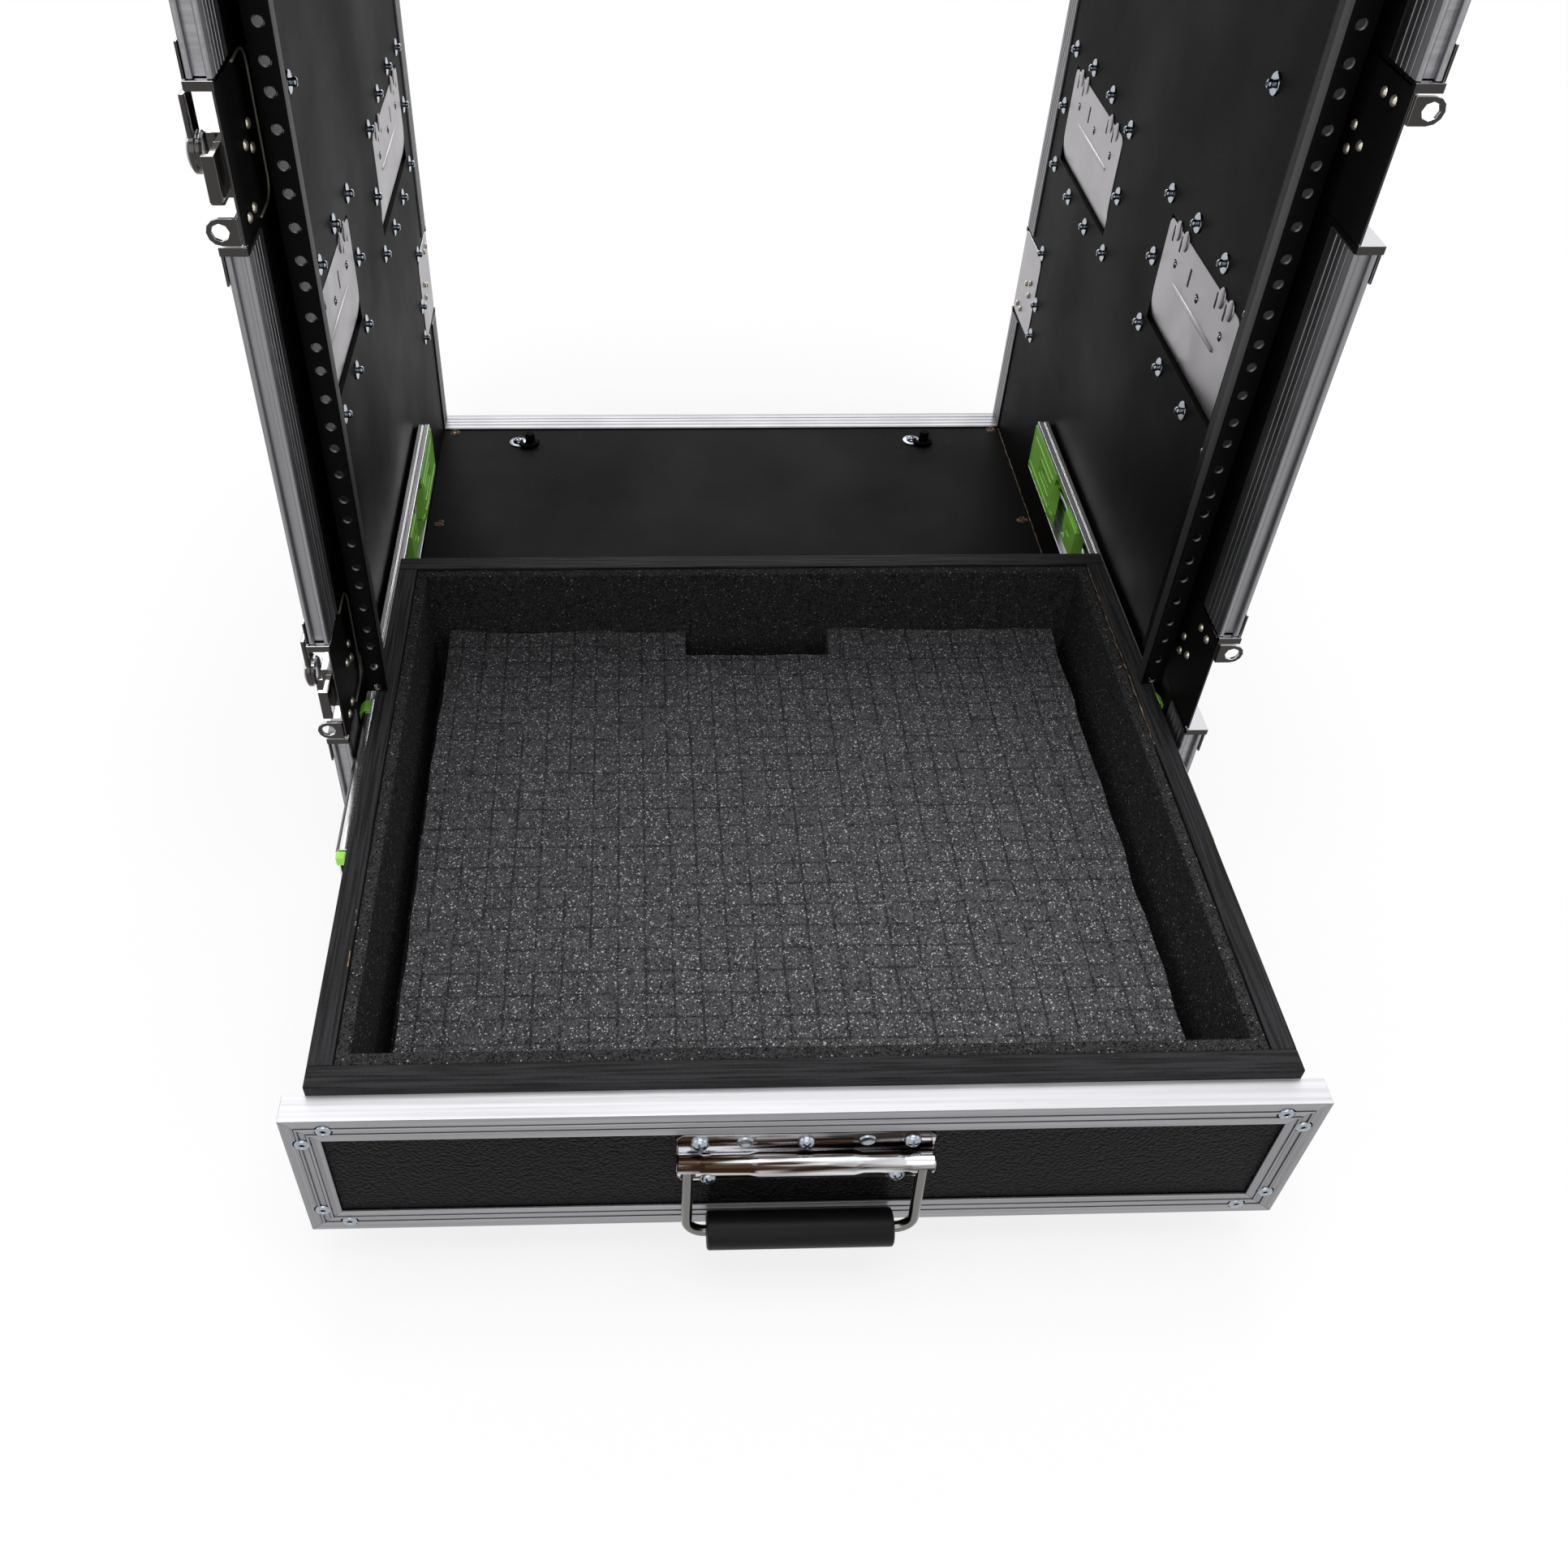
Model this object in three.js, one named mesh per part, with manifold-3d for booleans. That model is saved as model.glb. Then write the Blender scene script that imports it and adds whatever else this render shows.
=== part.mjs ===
// Rack road case with a foam-lined drawer, standing with the drawer pulled out.
// Millimetres. +Z is up and +Y runs from the open front to the open rear.
// The origin lies under the middle of the whole outline, on the ground.

import * as THREE from 'three';
import { mergeVertices } from 'three/addons/utils/BufferGeometryUtils.js';
import Module from 'manifold-3d';

const wasm = await Module();
wasm.setup();

// Driving sizes of the case. Heights count from the foot of the lowest rack unit,
// depths from the front face of the rack rails.
const plyThickness = 9;
const rackHoleHalfSpacing = 232.55;
const rackHoleToWall = 14.95;
const rackUnitHeight = 44.45;
const rackCount = 10;
const frontEdgeDepth = -34;
const rearEdgeDepth = 493;
const floorTop = -108.5;
const topClearance = 20;
const middleHeight = 178;

// How finely round shapes are drawn
const roundSides = 10;
const boreSides = 8;
const rackHoleSides = 6;
const gripSides = 12;
const footSides = 16;
const wireSides = 8;
const wireCornerSteps = 2;
const cornerSteps = 3;

// Clearances and cutting
const seatGap = 0.3;
const pinGap = 0.6;
const cutOver = 5;

// Aluminium edge profile that wraps the front and rear edges of the box
const edgeWall = 1.2;
const edgeFrontFlange = 29;
const edgeRearFlange = 23;
const edgeOuterFlange = 25;
const edgeGrooveDepth = 3;
const edgeLipWidth = 3;
const edgeRibHeight = 0.3;
const edgeRibWidth = 1;
const edgeRibPitch = 5;
const edgeRibStart = 6;
const edgeRibs = 4;

// Long corner angles and their end braces
const angleLeg = 30;
const braceLeg = 52;
const braceLength = 56;
const braceInset = 2;
const braceWall = 1.2;

// Rack rails: folded steel, tapped for rack screws
const railHoleInset = 6.35;
const railHoleStep = 15.875;
const railHolesPerUnit = 3;
const railHoleRadius = 2.6;
const railInnerReach = 5.55;
const railFaceWidth = 12.5;
const railLipDepth = 12.6;
const railWall = 2;
const railFootDepth = 36;
const railFootLength = 20;
const railEndGap = 3.5;
const railTopGap = 1;

// Recessed side handles
const handleFrontRoom = 46;
const handleRearRoom = 4.5;
const handleDrop = 1;
const handlePanWidth = 133;
const handlePanHeight = 66;
const handlePanCorner = 5;
const handlePlateRim = 21.5;
const handlePlateCorner = 10;
const dishSheet = 1.2;
const dishProud = 0.5;
const cutoutGap = 0.7;
const handleBarrelRadius = 5.5;
const handleLegInset = 10.5;
const handleBarrelInset = 20.5;
const handleGripInset = 22.5;
const handlePinRadius = 3;
const handlePinLength = 14;
const handleLegLength = 46;
const handleLegLean = 3;
const handlePinBend = 6;
const handleGripBend = 7;
const handleGripRadius = 9.5;

// Butterfly latches at the case edges
const latchLowerHeight = 31;
const latchUpperRise = 4;
const latchGapHeight = 75;
const latchPanDepth = 57;
const latchPanHeight = 68.4;
const latchPanCorner = 10;
const latchPlateDepth = 72;
const latchPlateHeight = 104;
const latchPlateCorner = 8;
const latchLipOut = 1.5;
const latchLipBack = 2;
const latchAxisDepth = 22;
const latchBaseDepth = 32;
const latchBaseHeight = 28;
const latchBossRadius = 10;
const latchBossTop = 1.5;
const latchBaseTop = -0.5;
const latchPinRadius = 3;
const latchPinLength = 4;
const latchHookReach = 9;
const latchHookHeight = 20;
const latchHookWall = 2.5;
const latchHookInset = 2.2;
const latchHookThickness = 3;
const latchCatchDepth = 20;
const latchCatchLength = 24;
const latchCatchHeight = 22;
const latchCatchWall = 2;
const latchCatchTop = -1.5;
const latchCatchLip = 4;
const latchTabHeight = 26;
const latchTabRadius = 6.2;
const latchTabHole = 4;
const latchTabWall = 2;
const latchTabFoot = 27;
const latchTabFootWall = 1.6;
const wingHubRadius = 8;
const wingHubTop = 10;
const wingHalfLength = 26;
const wingTipTop = 7;
const wingTopOut = 13.5;
const wingCrestHalf = 9;
const wingThickness = 3;

// Rubber feet
const footEndInset = 44;
const footSideInset = 75.5;
const footTopRadius = 18;
const footBottomRadius = 15.5;
const footHeight = 20;

// Drawer box, front and foam
const slideThickness = 13;
const drawerBoxFront = -271.5;
const drawerBoxBack = 134;
const drawerRim = 1.5;
const drawerBoxBottom = -102;
const drawerPly = 12;
const drawerFloor = 6;
const drawerFrontGap = 2.3;
const drawerFrontTop = -4.9;
const drawerFrontBottom = -106.4;
const drawerFrontThickness = 14;
const frameWall = 1.5;
const frameFlange = 17.5;
const frameRibHeight = 0.3;
const frameRibWidth = 1.2;
const frameRibPitch = 5;
const frameRibStart = 6;
const frameRibs = 2;
const linerThickness = 7;
const linerDrop = 1;
const foamTop = -45;
const foamLinerFloor = 6;
const foamSideGap = 9.5;
const foamNotchWidth = 97;
const foamNotchDepth = 26;
const foamNotchShift = 3;

// Drop handle on the drawer front
const pullHalfWidth = 61.5;
const pullTop = -22.8;
const pullBottom = -64;
const pullSheet = 1.3;
const pullBarrelRadius = 5.8;
const pullBarrelSink = 1;
const pullAxisHeight = -40.9;
const pullWireRadius = 2.75;
const pullPinLength = 20;
const pullLegGap = 0.8;
const pullLegInset = 5.1;
const pullLegDrop = 52.6;
const pullLegLean = 6.2;
const pullPinBend = 5;
const pullGripBend = 9;
const pullGripRadius = 9.5;
const pullGripInset = 15;

// Ball-bearing drawer slides and their soft-close units
const slideTop = -15.5;
const slideHeight = 41.5;
const slideSheet = 1.2;
const slideGap = 0.3;
const slideCabinetFront = 13;
const slideCabinetBack = 328;
const slideMouthInset = 1.5;
const slideGrooveDepth = 0.7;
const slideGrooveWidth = 1.6;
const slideMiddleFront = -108;
const slideMiddleLength = 210;
const slideMiddleInset = 3;
const slideDrawerLength = 228;
const slideDrawerSetBack = 3.5;
const slideStopFront = 4;
const softBodyLength = 70;
const softFaceInset = 0.8;
const softCatchFront = 190;
const softCatchLength = 25;
const softArmHeight = 9;
const softSlotLength = 26;
const softSlotHeight = 7;

// Worked out from the driving sizes
const innerHalfWidth = rackHoleHalfSpacing + rackHoleToWall;
const outerHalfWidth = innerHalfWidth + plyThickness;
const rackHeight = rackUnitHeight * rackCount;
const topUnder = rackHeight + topClearance;
const floorUnder = floorTop - plyThickness;
const topOver = topUnder + plyThickness;
const plyInset = edgeGrooveDepth + edgeWall + seatGap;
const plyFront = frontEdgeDepth + plyInset;
const plyBack = rearEdgeDepth - plyInset;
const edgeOut = plyThickness + edgeWall;
const dishFloorOut = -plyThickness - dishProud;
const drawerHalfWidth = innerHalfWidth - slideThickness;
const drawerFrontHalfWidth = innerHalfWidth - drawerFrontGap;
const drawerFrontFace = drawerBoxFront - drawerFrontThickness;
const drawerFrontCore = drawerFrontFace + frameWall;
const slideMiddleHeight = slideTop - slideHeight / 2;
const groundHeight = floorUnder - footHeight;
const handleHeight = middleHeight - handleDrop;
const handlePlateWidth = handlePanWidth + handlePlateRim * 2;
const handlePlateHeight = handlePanHeight + handlePlateRim * 2;
const handleBarrelLength = handlePanWidth - handleBarrelInset * 2;
const handleFrontDepth = frontEdgeDepth + edgeOuterFlange + handleFrontRoom + handlePlateWidth / 2;
const handleRearDepth = rearEdgeDepth - edgeOuterFlange - handleRearRoom - handlePlateWidth / 2;
const handleDepths = [handleFrontDepth, handleRearDepth];
const latchHeights = [latchLowerHeight, middleHeight * 2 - latchLowerHeight + latchUpperRise];
const footHalfSpacing = innerHalfWidth - footSideInset;
const footDepths = [frontEdgeDepth + footEndInset, rearEdgeDepth - footEndInset];
const pullAxisOut = pullSheet + pullBarrelRadius - pullBarrelSink;
const pullLegSpacing = (pullHalfWidth - pullLegInset) * 2;
const frontReach = drawerFrontCore - seatGap - pullAxisOut - pullLegLean - pullGripRadius;
const rearReach = rearEdgeDepth + latchHookReach;

// Finishes
const finish = {
  laminate: new THREE.MeshStandardMaterial({ color: 0x1d1c1b, roughness: 0.55, metalness: 0 }),
  aluminium: new THREE.MeshStandardMaterial({ color: 0xc9c9cc, roughness: 0.35, metalness: 1 }),
  rail: new THREE.MeshStandardMaterial({ color: 0x121213, roughness: 0.45, metalness: 0.6 }),
  chrome: new THREE.MeshStandardMaterial({ color: 0xd8d8da, roughness: 0.12, metalness: 1 }),
  zinc: new THREE.MeshStandardMaterial({ color: 0xbfbdbf, roughness: 0.4, metalness: 0.9 }),
  rubber: new THREE.MeshStandardMaterial({ color: 0x151515, roughness: 0.8, metalness: 0 }),
  plywood: new THREE.MeshStandardMaterial({ color: 0x1b1b1c, roughness: 0.7, metalness: 0 }),
  foam: new THREE.MeshStandardMaterial({ color: 0x2f2f31, roughness: 0.95, metalness: 0 }),
  greenPlastic: new THREE.MeshStandardMaterial({ color: 0x63a83a, roughness: 0.45, metalness: 0 }),
};

// Solids and meshes

function toSolid(geometry) {
  const bare = geometry.index ? geometry.toNonIndexed() : geometry.clone();
  bare.deleteAttribute('normal');
  bare.deleteAttribute('uv');
  const welded = mergeVertices(bare);
  const vertProperties = new Float32Array(welded.attributes.position.array);
  const triVerts = new Uint32Array(welded.index.array);
  return new wasm.Manifold(new wasm.Mesh({ numProp: 3, vertProperties, triVerts }));
}

function toGeometry(solid) {
  const mesh = solid.getMesh();
  const geometry = new THREE.BufferGeometry();
  geometry.setAttribute('position', new THREE.BufferAttribute(mesh.vertProperties, 3));
  geometry.setIndex(new THREE.BufferAttribute(mesh.triVerts, 1));
  geometry.computeVertexNormals();
  return geometry;
}

function join(...solids) {
  return solids.reduce((whole, piece) => whole.add(piece));
}

function cut(solid, ...tools) {
  return tools.reduce((whole, tool) => whole.subtract(tool), solid);
}

function block(xs, ys, zs) {
  const geometry = new THREE.BoxGeometry(xs[1] - xs[0], ys[1] - ys[0], zs[1] - zs[0]);
  geometry.translate((xs[0] + xs[1]) / 2, (ys[0] + ys[1]) / 2, (zs[0] + zs[1]) / 2);
  return toSolid(geometry);
}

// A round bar between two points
function rod(radius, start, end, sides = roundSides) {
  const from = new THREE.Vector3(...start);
  const along = new THREE.Vector3(...end).sub(from);
  const geometry = new THREE.CylinderGeometry(radius, radius, along.length(), sides);
  const up = new THREE.Vector3(0, 1, 0);
  const turn = new THREE.Quaternion().setFromUnitVectors(up, along.clone().normalize());
  geometry.applyQuaternion(turn);
  const middle = from.addScaledVector(along, 1 / 2);
  geometry.translate(middle.x, middle.y, middle.z);
  return toSolid(geometry);
}

// A rectangle with rounded corners. Its radii go round from low y and low z, by way of high y.
function roundedOutline(ys, zs, radii) {
  const [a, b, c, d] = radii;
  const outline = new THREE.Shape();
  outline.moveTo(ys[0] + a, zs[0]);
  outline.lineTo(ys[1] - b, zs[0]);
  if (b > 0) outline.absarc(ys[1] - b, zs[0] + b, b, -Math.PI / 2, 0, false);
  outline.lineTo(ys[1], zs[1] - c);
  if (c > 0) outline.absarc(ys[1] - c, zs[1] - c, c, 0, Math.PI / 2, false);
  outline.lineTo(ys[0] + d, zs[1]);
  if (d > 0) outline.absarc(ys[0] + d, zs[1] - d, d, Math.PI / 2, Math.PI, false);
  outline.lineTo(ys[0], zs[0] + a);
  if (a > 0) outline.absarc(ys[0] + a, zs[0] + a, a, Math.PI, Math.PI * 3 / 2, false);
  return outline;
}

// A plate whose outline lies in the YZ plane, between two places along X
function sidePlate(outline, xs) {
  const options = { depth: xs[1] - xs[0], bevelEnabled: false, curveSegments: cornerSteps };
  const geometry = new THREE.ExtrudeGeometry(outline, options);
  const placed = new THREE.Matrix4().makeBasis(
    new THREE.Vector3(0, 1, 0),
    new THREE.Vector3(0, 0, 1),
    new THREE.Vector3(1, 0, 0),
  );
  geometry.applyMatrix4(placed);
  geometry.translate(xs[0], 0, 0);
  return toSolid(geometry);
}

// Skins a row of matching rings of points, with a cap at each end unless the row closes on itself
function skinRings(rings, contour, closed) {
  const count = contour.length;
  const positions = rings.flat(2);
  const triangles = [];
  const spans = closed ? rings.length : rings.length - 1;
  for (let span = 0; span < spans; span += 1) {
    const here = span * count;
    const next = ((span + 1) % rings.length) * count;
    for (let point = 0; point < count; point += 1) {
      const after = (point + 1) % count;
      triangles.push(here + point, next + point, next + after);
      triangles.push(here + point, next + after, here + after);
    }
  }
  if (!closed) {
    const last = (rings.length - 1) * count;
    const flat = contour.map(([across, along]) => new THREE.Vector2(across, along));
    for (const [a, b, c] of THREE.ShapeUtils.triangulateShape(flat, [])) {
      triangles.push(a, b, c);
      triangles.push(last + a, last + c, last + b);
    }
  }
  if (signedVolume(positions, triangles) < 0) triangles.reverse();
  const geometry = new THREE.BufferGeometry();
  geometry.setAttribute('position', new THREE.Float32BufferAttribute(positions, 3));
  geometry.setIndex(triangles);
  geometry.computeVertexNormals();
  return geometry;
}

// Carries a profile of points (out, in) round stations that stand on the line of an opening.
// Each station gives its x and z, and how far a point moves for each unit outwards.
function sweptFrame(profile, stations, edgeDepth, inward, closed = false) {
  const rings = stations.map(({ x, z, outX, outZ }) => profile.map(
    ([out, deep]) => [x + outX * out, edgeDepth + inward * deep, z + outZ * out],
  ));
  return skinRings(rings, profile, closed);
}

// A corner of a bent wire, taken round a short curve
function roundedCorner(before, corner, after, bend) {
  const start = corner.clone().addScaledVector(before.clone().sub(corner).normalize(), bend);
  const stop = corner.clone().addScaledVector(after.clone().sub(corner).normalize(), bend);
  return new THREE.QuadraticBezierCurve3(start, corner, stop).getPoints(wireCornerSteps);
}

// A wire bent in one plane, mitred at each of its points
function bentWire(radius, path, normal) {
  const circle = [];
  for (let side = 0; side < wireSides; side += 1) {
    const angle = (side / wireSides) * Math.PI * 2;
    circle.push([Math.cos(angle), Math.sin(angle)]);
  }
  const rings = path.map((point, index) => {
    const before = path[Math.max(index - 1, 0)];
    const after = path[Math.min(index + 1, path.length - 1)];
    const arrive = index === 0 ? after.clone().sub(point) : point.clone().sub(before);
    const leave = index === path.length - 1 ? arrive.clone() : after.clone().sub(point);
    arrive.normalize();
    const tangent = arrive.clone().add(leave.normalize()).normalize();
    const across = normal.clone().cross(tangent).multiplyScalar(radius / tangent.dot(arrive));
    const raised = normal.clone().multiplyScalar(radius);
    return circle.map(([up, over]) => point.clone()
      .addScaledVector(raised, up)
      .addScaledVector(across, over)
      .toArray());
  });
  return toSolid(skinRings(rings, circle, false));
}

function signedVolume(positions, triangles) {
  const corner = (index) => new THREE.Vector3().fromArray(positions, index * 3);
  let total = 0;
  for (let place = 0; place < triangles.length; place += 3) {
    const [a, b, c] = triangles.slice(place, place + 3).map(corner);
    total += a.dot(b.cross(c)) / 6;
  }
  return total;
}

function mesh(name, shape, material) {
  const geometry = shape.isBufferGeometry ? shape : toGeometry(shape);
  const piece = new THREE.Mesh(geometry, material);
  piece.name = name;
  return piece;
}

// Where a side piece sits: which way it faces and how it is turned
const sides = [
  { name: 'left', sign: -1 },
  { name: 'right', sign: 1 },
];
const ends = [
  { name: 'front', sign: -1, depth: frontEdgeDepth },
  { name: 'rear', sign: 1, depth: rearEdgeDepth },
];
const levels = [
  { name: 'lower', height: latchHeights[0] },
  { name: 'upper', height: latchHeights[1] },
];

// The pocket that each recessed dish needs in a wall
function handlePocket(depth, sign) {
  const half = handlePanWidth / 2 + cutoutGap;
  const rise = handlePanHeight / 2 + cutoutGap;
  const near = sign * (innerHalfWidth - cutOver);
  const far = sign * (outerHalfWidth + cutOver);
  const xs = [Math.min(near, far), Math.max(near, far)];
  return block(xs, [depth - half, depth + half], [handleHeight - rise, handleHeight + rise]);
}

function latchPocket(end, height, sign) {
  const rise = latchPanHeight / 2 + cutoutGap;
  const reach = latchPanDepth + cutoutGap;
  const inner = end.depth - end.sign * reach;
  const outer = end.depth + end.sign * cutOver;
  const xs = [sign * innerHalfWidth - cutOver - plyThickness, sign * innerHalfWidth + cutOver + plyThickness];
  return block(xs, [Math.min(inner, outer), Math.max(inner, outer)], [height - rise, height + rise]);
}

function sideWall(side) {
  const inner = side.sign * innerHalfWidth;
  const outer = side.sign * outerHalfWidth;
  const xs = [Math.min(inner, outer), Math.max(inner, outer)];
  let wall = block(xs, [plyFront, plyBack], [floorUnder, topOver]);
  for (const depth of handleDepths) {
    wall = cut(wall, handlePocket(depth, side.sign));
  }
  for (const end of ends) {
    for (const level of levels) {
      wall = cut(wall, latchPocket(end, level.height, side.sign));
    }
  }
  return mesh(`${side.name}_wall`, wall, finish.laminate);
}

function flatPanel(name, zs) {
  const panel = block([-innerHalfWidth, innerHalfWidth], [plyFront, plyBack], zs);
  return mesh(name, panel, finish.laminate);
}

// Edge profile points: out from the inner face of the plywood, and in from the edge
function edgeProfile(innerFlange) {
  const points = [[0, edgeGrooveDepth + edgeWall], [0, innerFlange], [-edgeWall, innerFlange]];
  for (let rib = edgeRibs - 1; rib >= 0; rib -= 1) {
    const start = edgeRibStart + rib * edgeRibPitch;
    const crest = -edgeWall - edgeRibHeight;
    if (start + edgeRibWidth >= innerFlange) continue;
    points.push([-edgeWall, start + edgeRibWidth], [crest, start + edgeRibWidth]);
    points.push([crest, start], [-edgeWall, start]);
  }
  points.push([-edgeWall, 0], [edgeLipWidth - edgeWall, 0], [edgeLipWidth - edgeWall, edgeGrooveDepth]);
  points.push([edgeOut - edgeLipWidth, edgeGrooveDepth], [edgeOut - edgeLipWidth, 0], [edgeOut, 0]);
  points.push([edgeOut, edgeOuterFlange], [plyThickness, edgeOuterFlange]);
  points.push([plyThickness, edgeGrooveDepth + edgeWall]);
  return points;
}

function edgePieces(end) {
  const flange = end.sign < 0 ? edgeFrontFlange : edgeRearFlange;
  const profile = edgeProfile(flange);
  const corner = (sideSign, z, outZ) => ({ x: sideSign * innerHalfWidth, z, outX: sideSign, outZ });
  const halfGap = latchGapHeight / 2;
  const [low, high] = latchHeights;
  const runs = {
    bottom: [
      corner(-1, low - halfGap, 0),
      corner(-1, floorTop, -1),
      corner(1, floorTop, -1),
      corner(1, low - halfGap, 0),
    ],
    top: [
      corner(-1, high + halfGap, 0),
      corner(-1, topUnder, 1),
      corner(1, topUnder, 1),
      corner(1, high + halfGap, 0),
    ],
    left: [corner(-1, low + halfGap, 0), corner(-1, high - halfGap, 0)],
    right: [corner(1, low + halfGap, 0), corner(1, high - halfGap, 0)],
  };
  return Object.entries(runs).map(([place, stations]) => {
    const geometry = sweptFrame(profile, stations, end.depth, -end.sign);
    return mesh(`${end.name}_edge_${place}`, geometry, finish.aluminium);
  });
}

// A corner angle along the depth, with a folded brace over each end
function cornerAngle(x, y, z, wall, leg, ys) {
  const flat = block([-leg, wall], ys, [0, wall]);
  const upright = block([0, wall], ys, [-leg, wall]);
  const solid = join(flat, upright);
  const geometry = toGeometry(solid);
  const flipX = x < 0 ? -1 : 1;
  const flipZ = z < middleHeight ? -1 : 1;
  const mirrored = new THREE.Matrix4().makeScale(flipX, 1, flipZ);
  geometry.applyMatrix4(mirrored);
  if (flipX * flipZ < 0) geometry.index.array.reverse();
  geometry.translate(x, y, z);
  return toSolid(geometry);
}

function longEdge(side, level) {
  const x = side.sign * outerHalfWidth;
  const z = level === 'bottom' ? floorUnder : topOver;
  const zWay = level === 'bottom' ? -1 : 1;
  const start = frontEdgeDepth + edgeOuterFlange + seatGap;
  const stop = rearEdgeDepth - edgeOuterFlange - seatGap;
  const angle = cornerAngle(x, 0, z, edgeWall, angleLeg, [start, stop]);
  const braceX = x + side.sign * edgeWall;
  const braceZ = z + zWay * edgeWall;
  const frontBrace = [frontEdgeDepth + braceInset, frontEdgeDepth + braceInset + braceLength];
  const rearBrace = [rearEdgeDepth - braceInset - braceLength, rearEdgeDepth - braceInset];
  const braces = [frontBrace, rearBrace].map((ys) => cornerAngle(braceX, 0, braceZ, braceWall, braceLeg, ys));
  return mesh(`long_edge_${level}_${side.name}`, join(angle, ...braces), finish.aluminium);
}

function rackRail(side) {
  const inner = rackHoleHalfSpacing - railInnerReach;
  const outer = inner + railFaceWidth;
  const outline = new THREE.Shape();
  const points = [
    [inner, 0],
    [outer, 0],
    [outer, railFootDepth],
    [innerHalfWidth, railFootDepth],
    [innerHalfWidth, railFootDepth + railFootLength],
    [innerHalfWidth - railWall, railFootDepth + railFootLength],
    [innerHalfWidth - railWall, railFootDepth + railWall],
    [outer - railWall, railFootDepth + railWall],
    [outer - railWall, railWall],
    [inner + railWall, railWall],
    [inner + railWall, railLipDepth],
    [inner, railLipDepth],
  ];
  const placed = points.map(([x, y]) => [side.sign * x, y]);
  outline.moveTo(...placed[0]);
  placed.slice(1).forEach((point) => outline.lineTo(...point));
  const depth = rackHeight - railTopGap - railEndGap;
  const geometry = new THREE.ExtrudeGeometry(outline, { depth, bevelEnabled: false });
  geometry.translate(0, 0, railEndGap);
  let rail = toSolid(geometry);
  for (let unit = 0; unit < rackCount; unit += 1) {
    for (let hole = 0; hole < railHolesPerUnit; hole += 1) {
      const z = unit * rackUnitHeight + railHoleInset + hole * railHoleStep;
      const x = side.sign * rackHoleHalfSpacing;
      rail = cut(rail, rod(railHoleRadius, [x, -cutOver, z], [x, railWall + cutOver, z], rackHoleSides));
    }
  }
  return mesh(`rack_rail_${side.name}`, rail, finish.rail);
}

// A pressed dish: a plate on the wall's outer face and a pan sunk through it.
// It faces +X, with x zero at the wall's outer face.
function pressedDish({ plateYs, plateZs, plateCorner, panYs, panZs, panRadii, plateOut, openEdge }) {
  const plateRadii = openEdge ? [0, plateCorner, plateCorner, 0] : Array(4).fill(plateCorner);
  const plate = sidePlate(roundedOutline(plateYs, plateZs, plateRadii), [plateOut, plateOut + dishSheet]);
  const pan = sidePlate(roundedOutline(panYs, panZs, panRadii), [dishFloorOut, plateOut + dishSheet]);
  const hollowYs = [openEdge ? panYs[0] - cutOver : panYs[0] + dishSheet, panYs[1] - dishSheet];
  const hollowZs = [panZs[0] + dishSheet, panZs[1] - dishSheet];
  const hollowRadii = panRadii.map((radius) => Math.max(radius - dishSheet, 0));
  const hollow = sidePlate(
    roundedOutline(hollowYs, hollowZs, hollowRadii),
    [dishFloorOut + dishSheet, plateOut + dishSheet + cutOver],
  );
  return cut(join(plate, pan), hollow);
}

// A wire bail about an axis along Y: pins and two legs, hanging to -Z and leaning to +X
function wireBail({ wire, pinStart, legSpacing, drop, lean, pinBend, gripBend }) {
  const half = legSpacing / 2;
  const corners = [
    new THREE.Vector3(0, pinStart, 0),
    new THREE.Vector3(0, half, 0),
    new THREE.Vector3(lean, half, -drop),
    new THREE.Vector3(lean, -half, -drop),
    new THREE.Vector3(0, -half, 0),
    new THREE.Vector3(0, -pinStart, 0),
  ];
  const bends = [0, pinBend, gripBend, gripBend, pinBend, 0];
  const path = corners.flatMap((corner, index) => {
    if (bends[index] === 0) return [corner];
    return roundedCorner(corners[index - 1], corner, corners[index + 1], bends[index]);
  });
  const normal = new THREE.Vector3(drop, 0, lean).normalize();
  return bentWire(wire, path, normal);
}

function bailGrip({ drop, lean, gripRadius, gripLength }) {
  return rod(gripRadius, [lean, -gripLength / 2, -drop], [lean, gripLength / 2, -drop], gripSides);
}

function barrel(radius, length, pinRadius, pinLength, x, z) {
  const half = length / 2;
  const tube = rod(radius, [x, -half, z], [x, half, z]);
  const bores = [-1, 1].map((way) => {
    const inner = way * (half - pinLength - pinGap);
    return rod(pinRadius + pinGap, [x, inner, z], [x, way * (half + cutOver), z], boreSides);
  });
  return { tube, bores };
}

function handleAxis() {
  return handlePanHeight / 2 - handleBarrelRadius;
}

function handleDish() {
  const half = handlePanWidth / 2;
  const rise = handlePanHeight / 2;
  const dish = pressedDish({
    plateYs: [-handlePlateWidth / 2, handlePlateWidth / 2],
    plateZs: [-handlePlateHeight / 2, handlePlateHeight / 2],
    plateCorner: handlePlateCorner,
    panYs: [-half, half],
    panZs: [-rise, rise],
    panRadii: Array(4).fill(handlePanCorner),
    plateOut: seatGap,
    openEdge: false,
  });
  const { tube, bores } = barrel(
    handleBarrelRadius, handleBarrelLength, handlePinRadius, handlePinLength, 0, handleAxis(),
  );
  return cut(join(dish, tube), ...bores);
}

function handleBail() {
  const sizes = {
    wire: handlePinRadius,
    pinStart: handleBarrelLength / 2 - handlePinLength,
    legSpacing: handlePanWidth - handleLegInset * 2,
    drop: handleLegLength,
    lean: handleLegLean,
    pinBend: handlePinBend,
    gripBend: handleGripBend,
    gripRadius: handleGripRadius,
    gripLength: handlePanWidth - handleGripInset * 2,
  };
  return join(wireBail(sizes), bailGrip(sizes));
}

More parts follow.
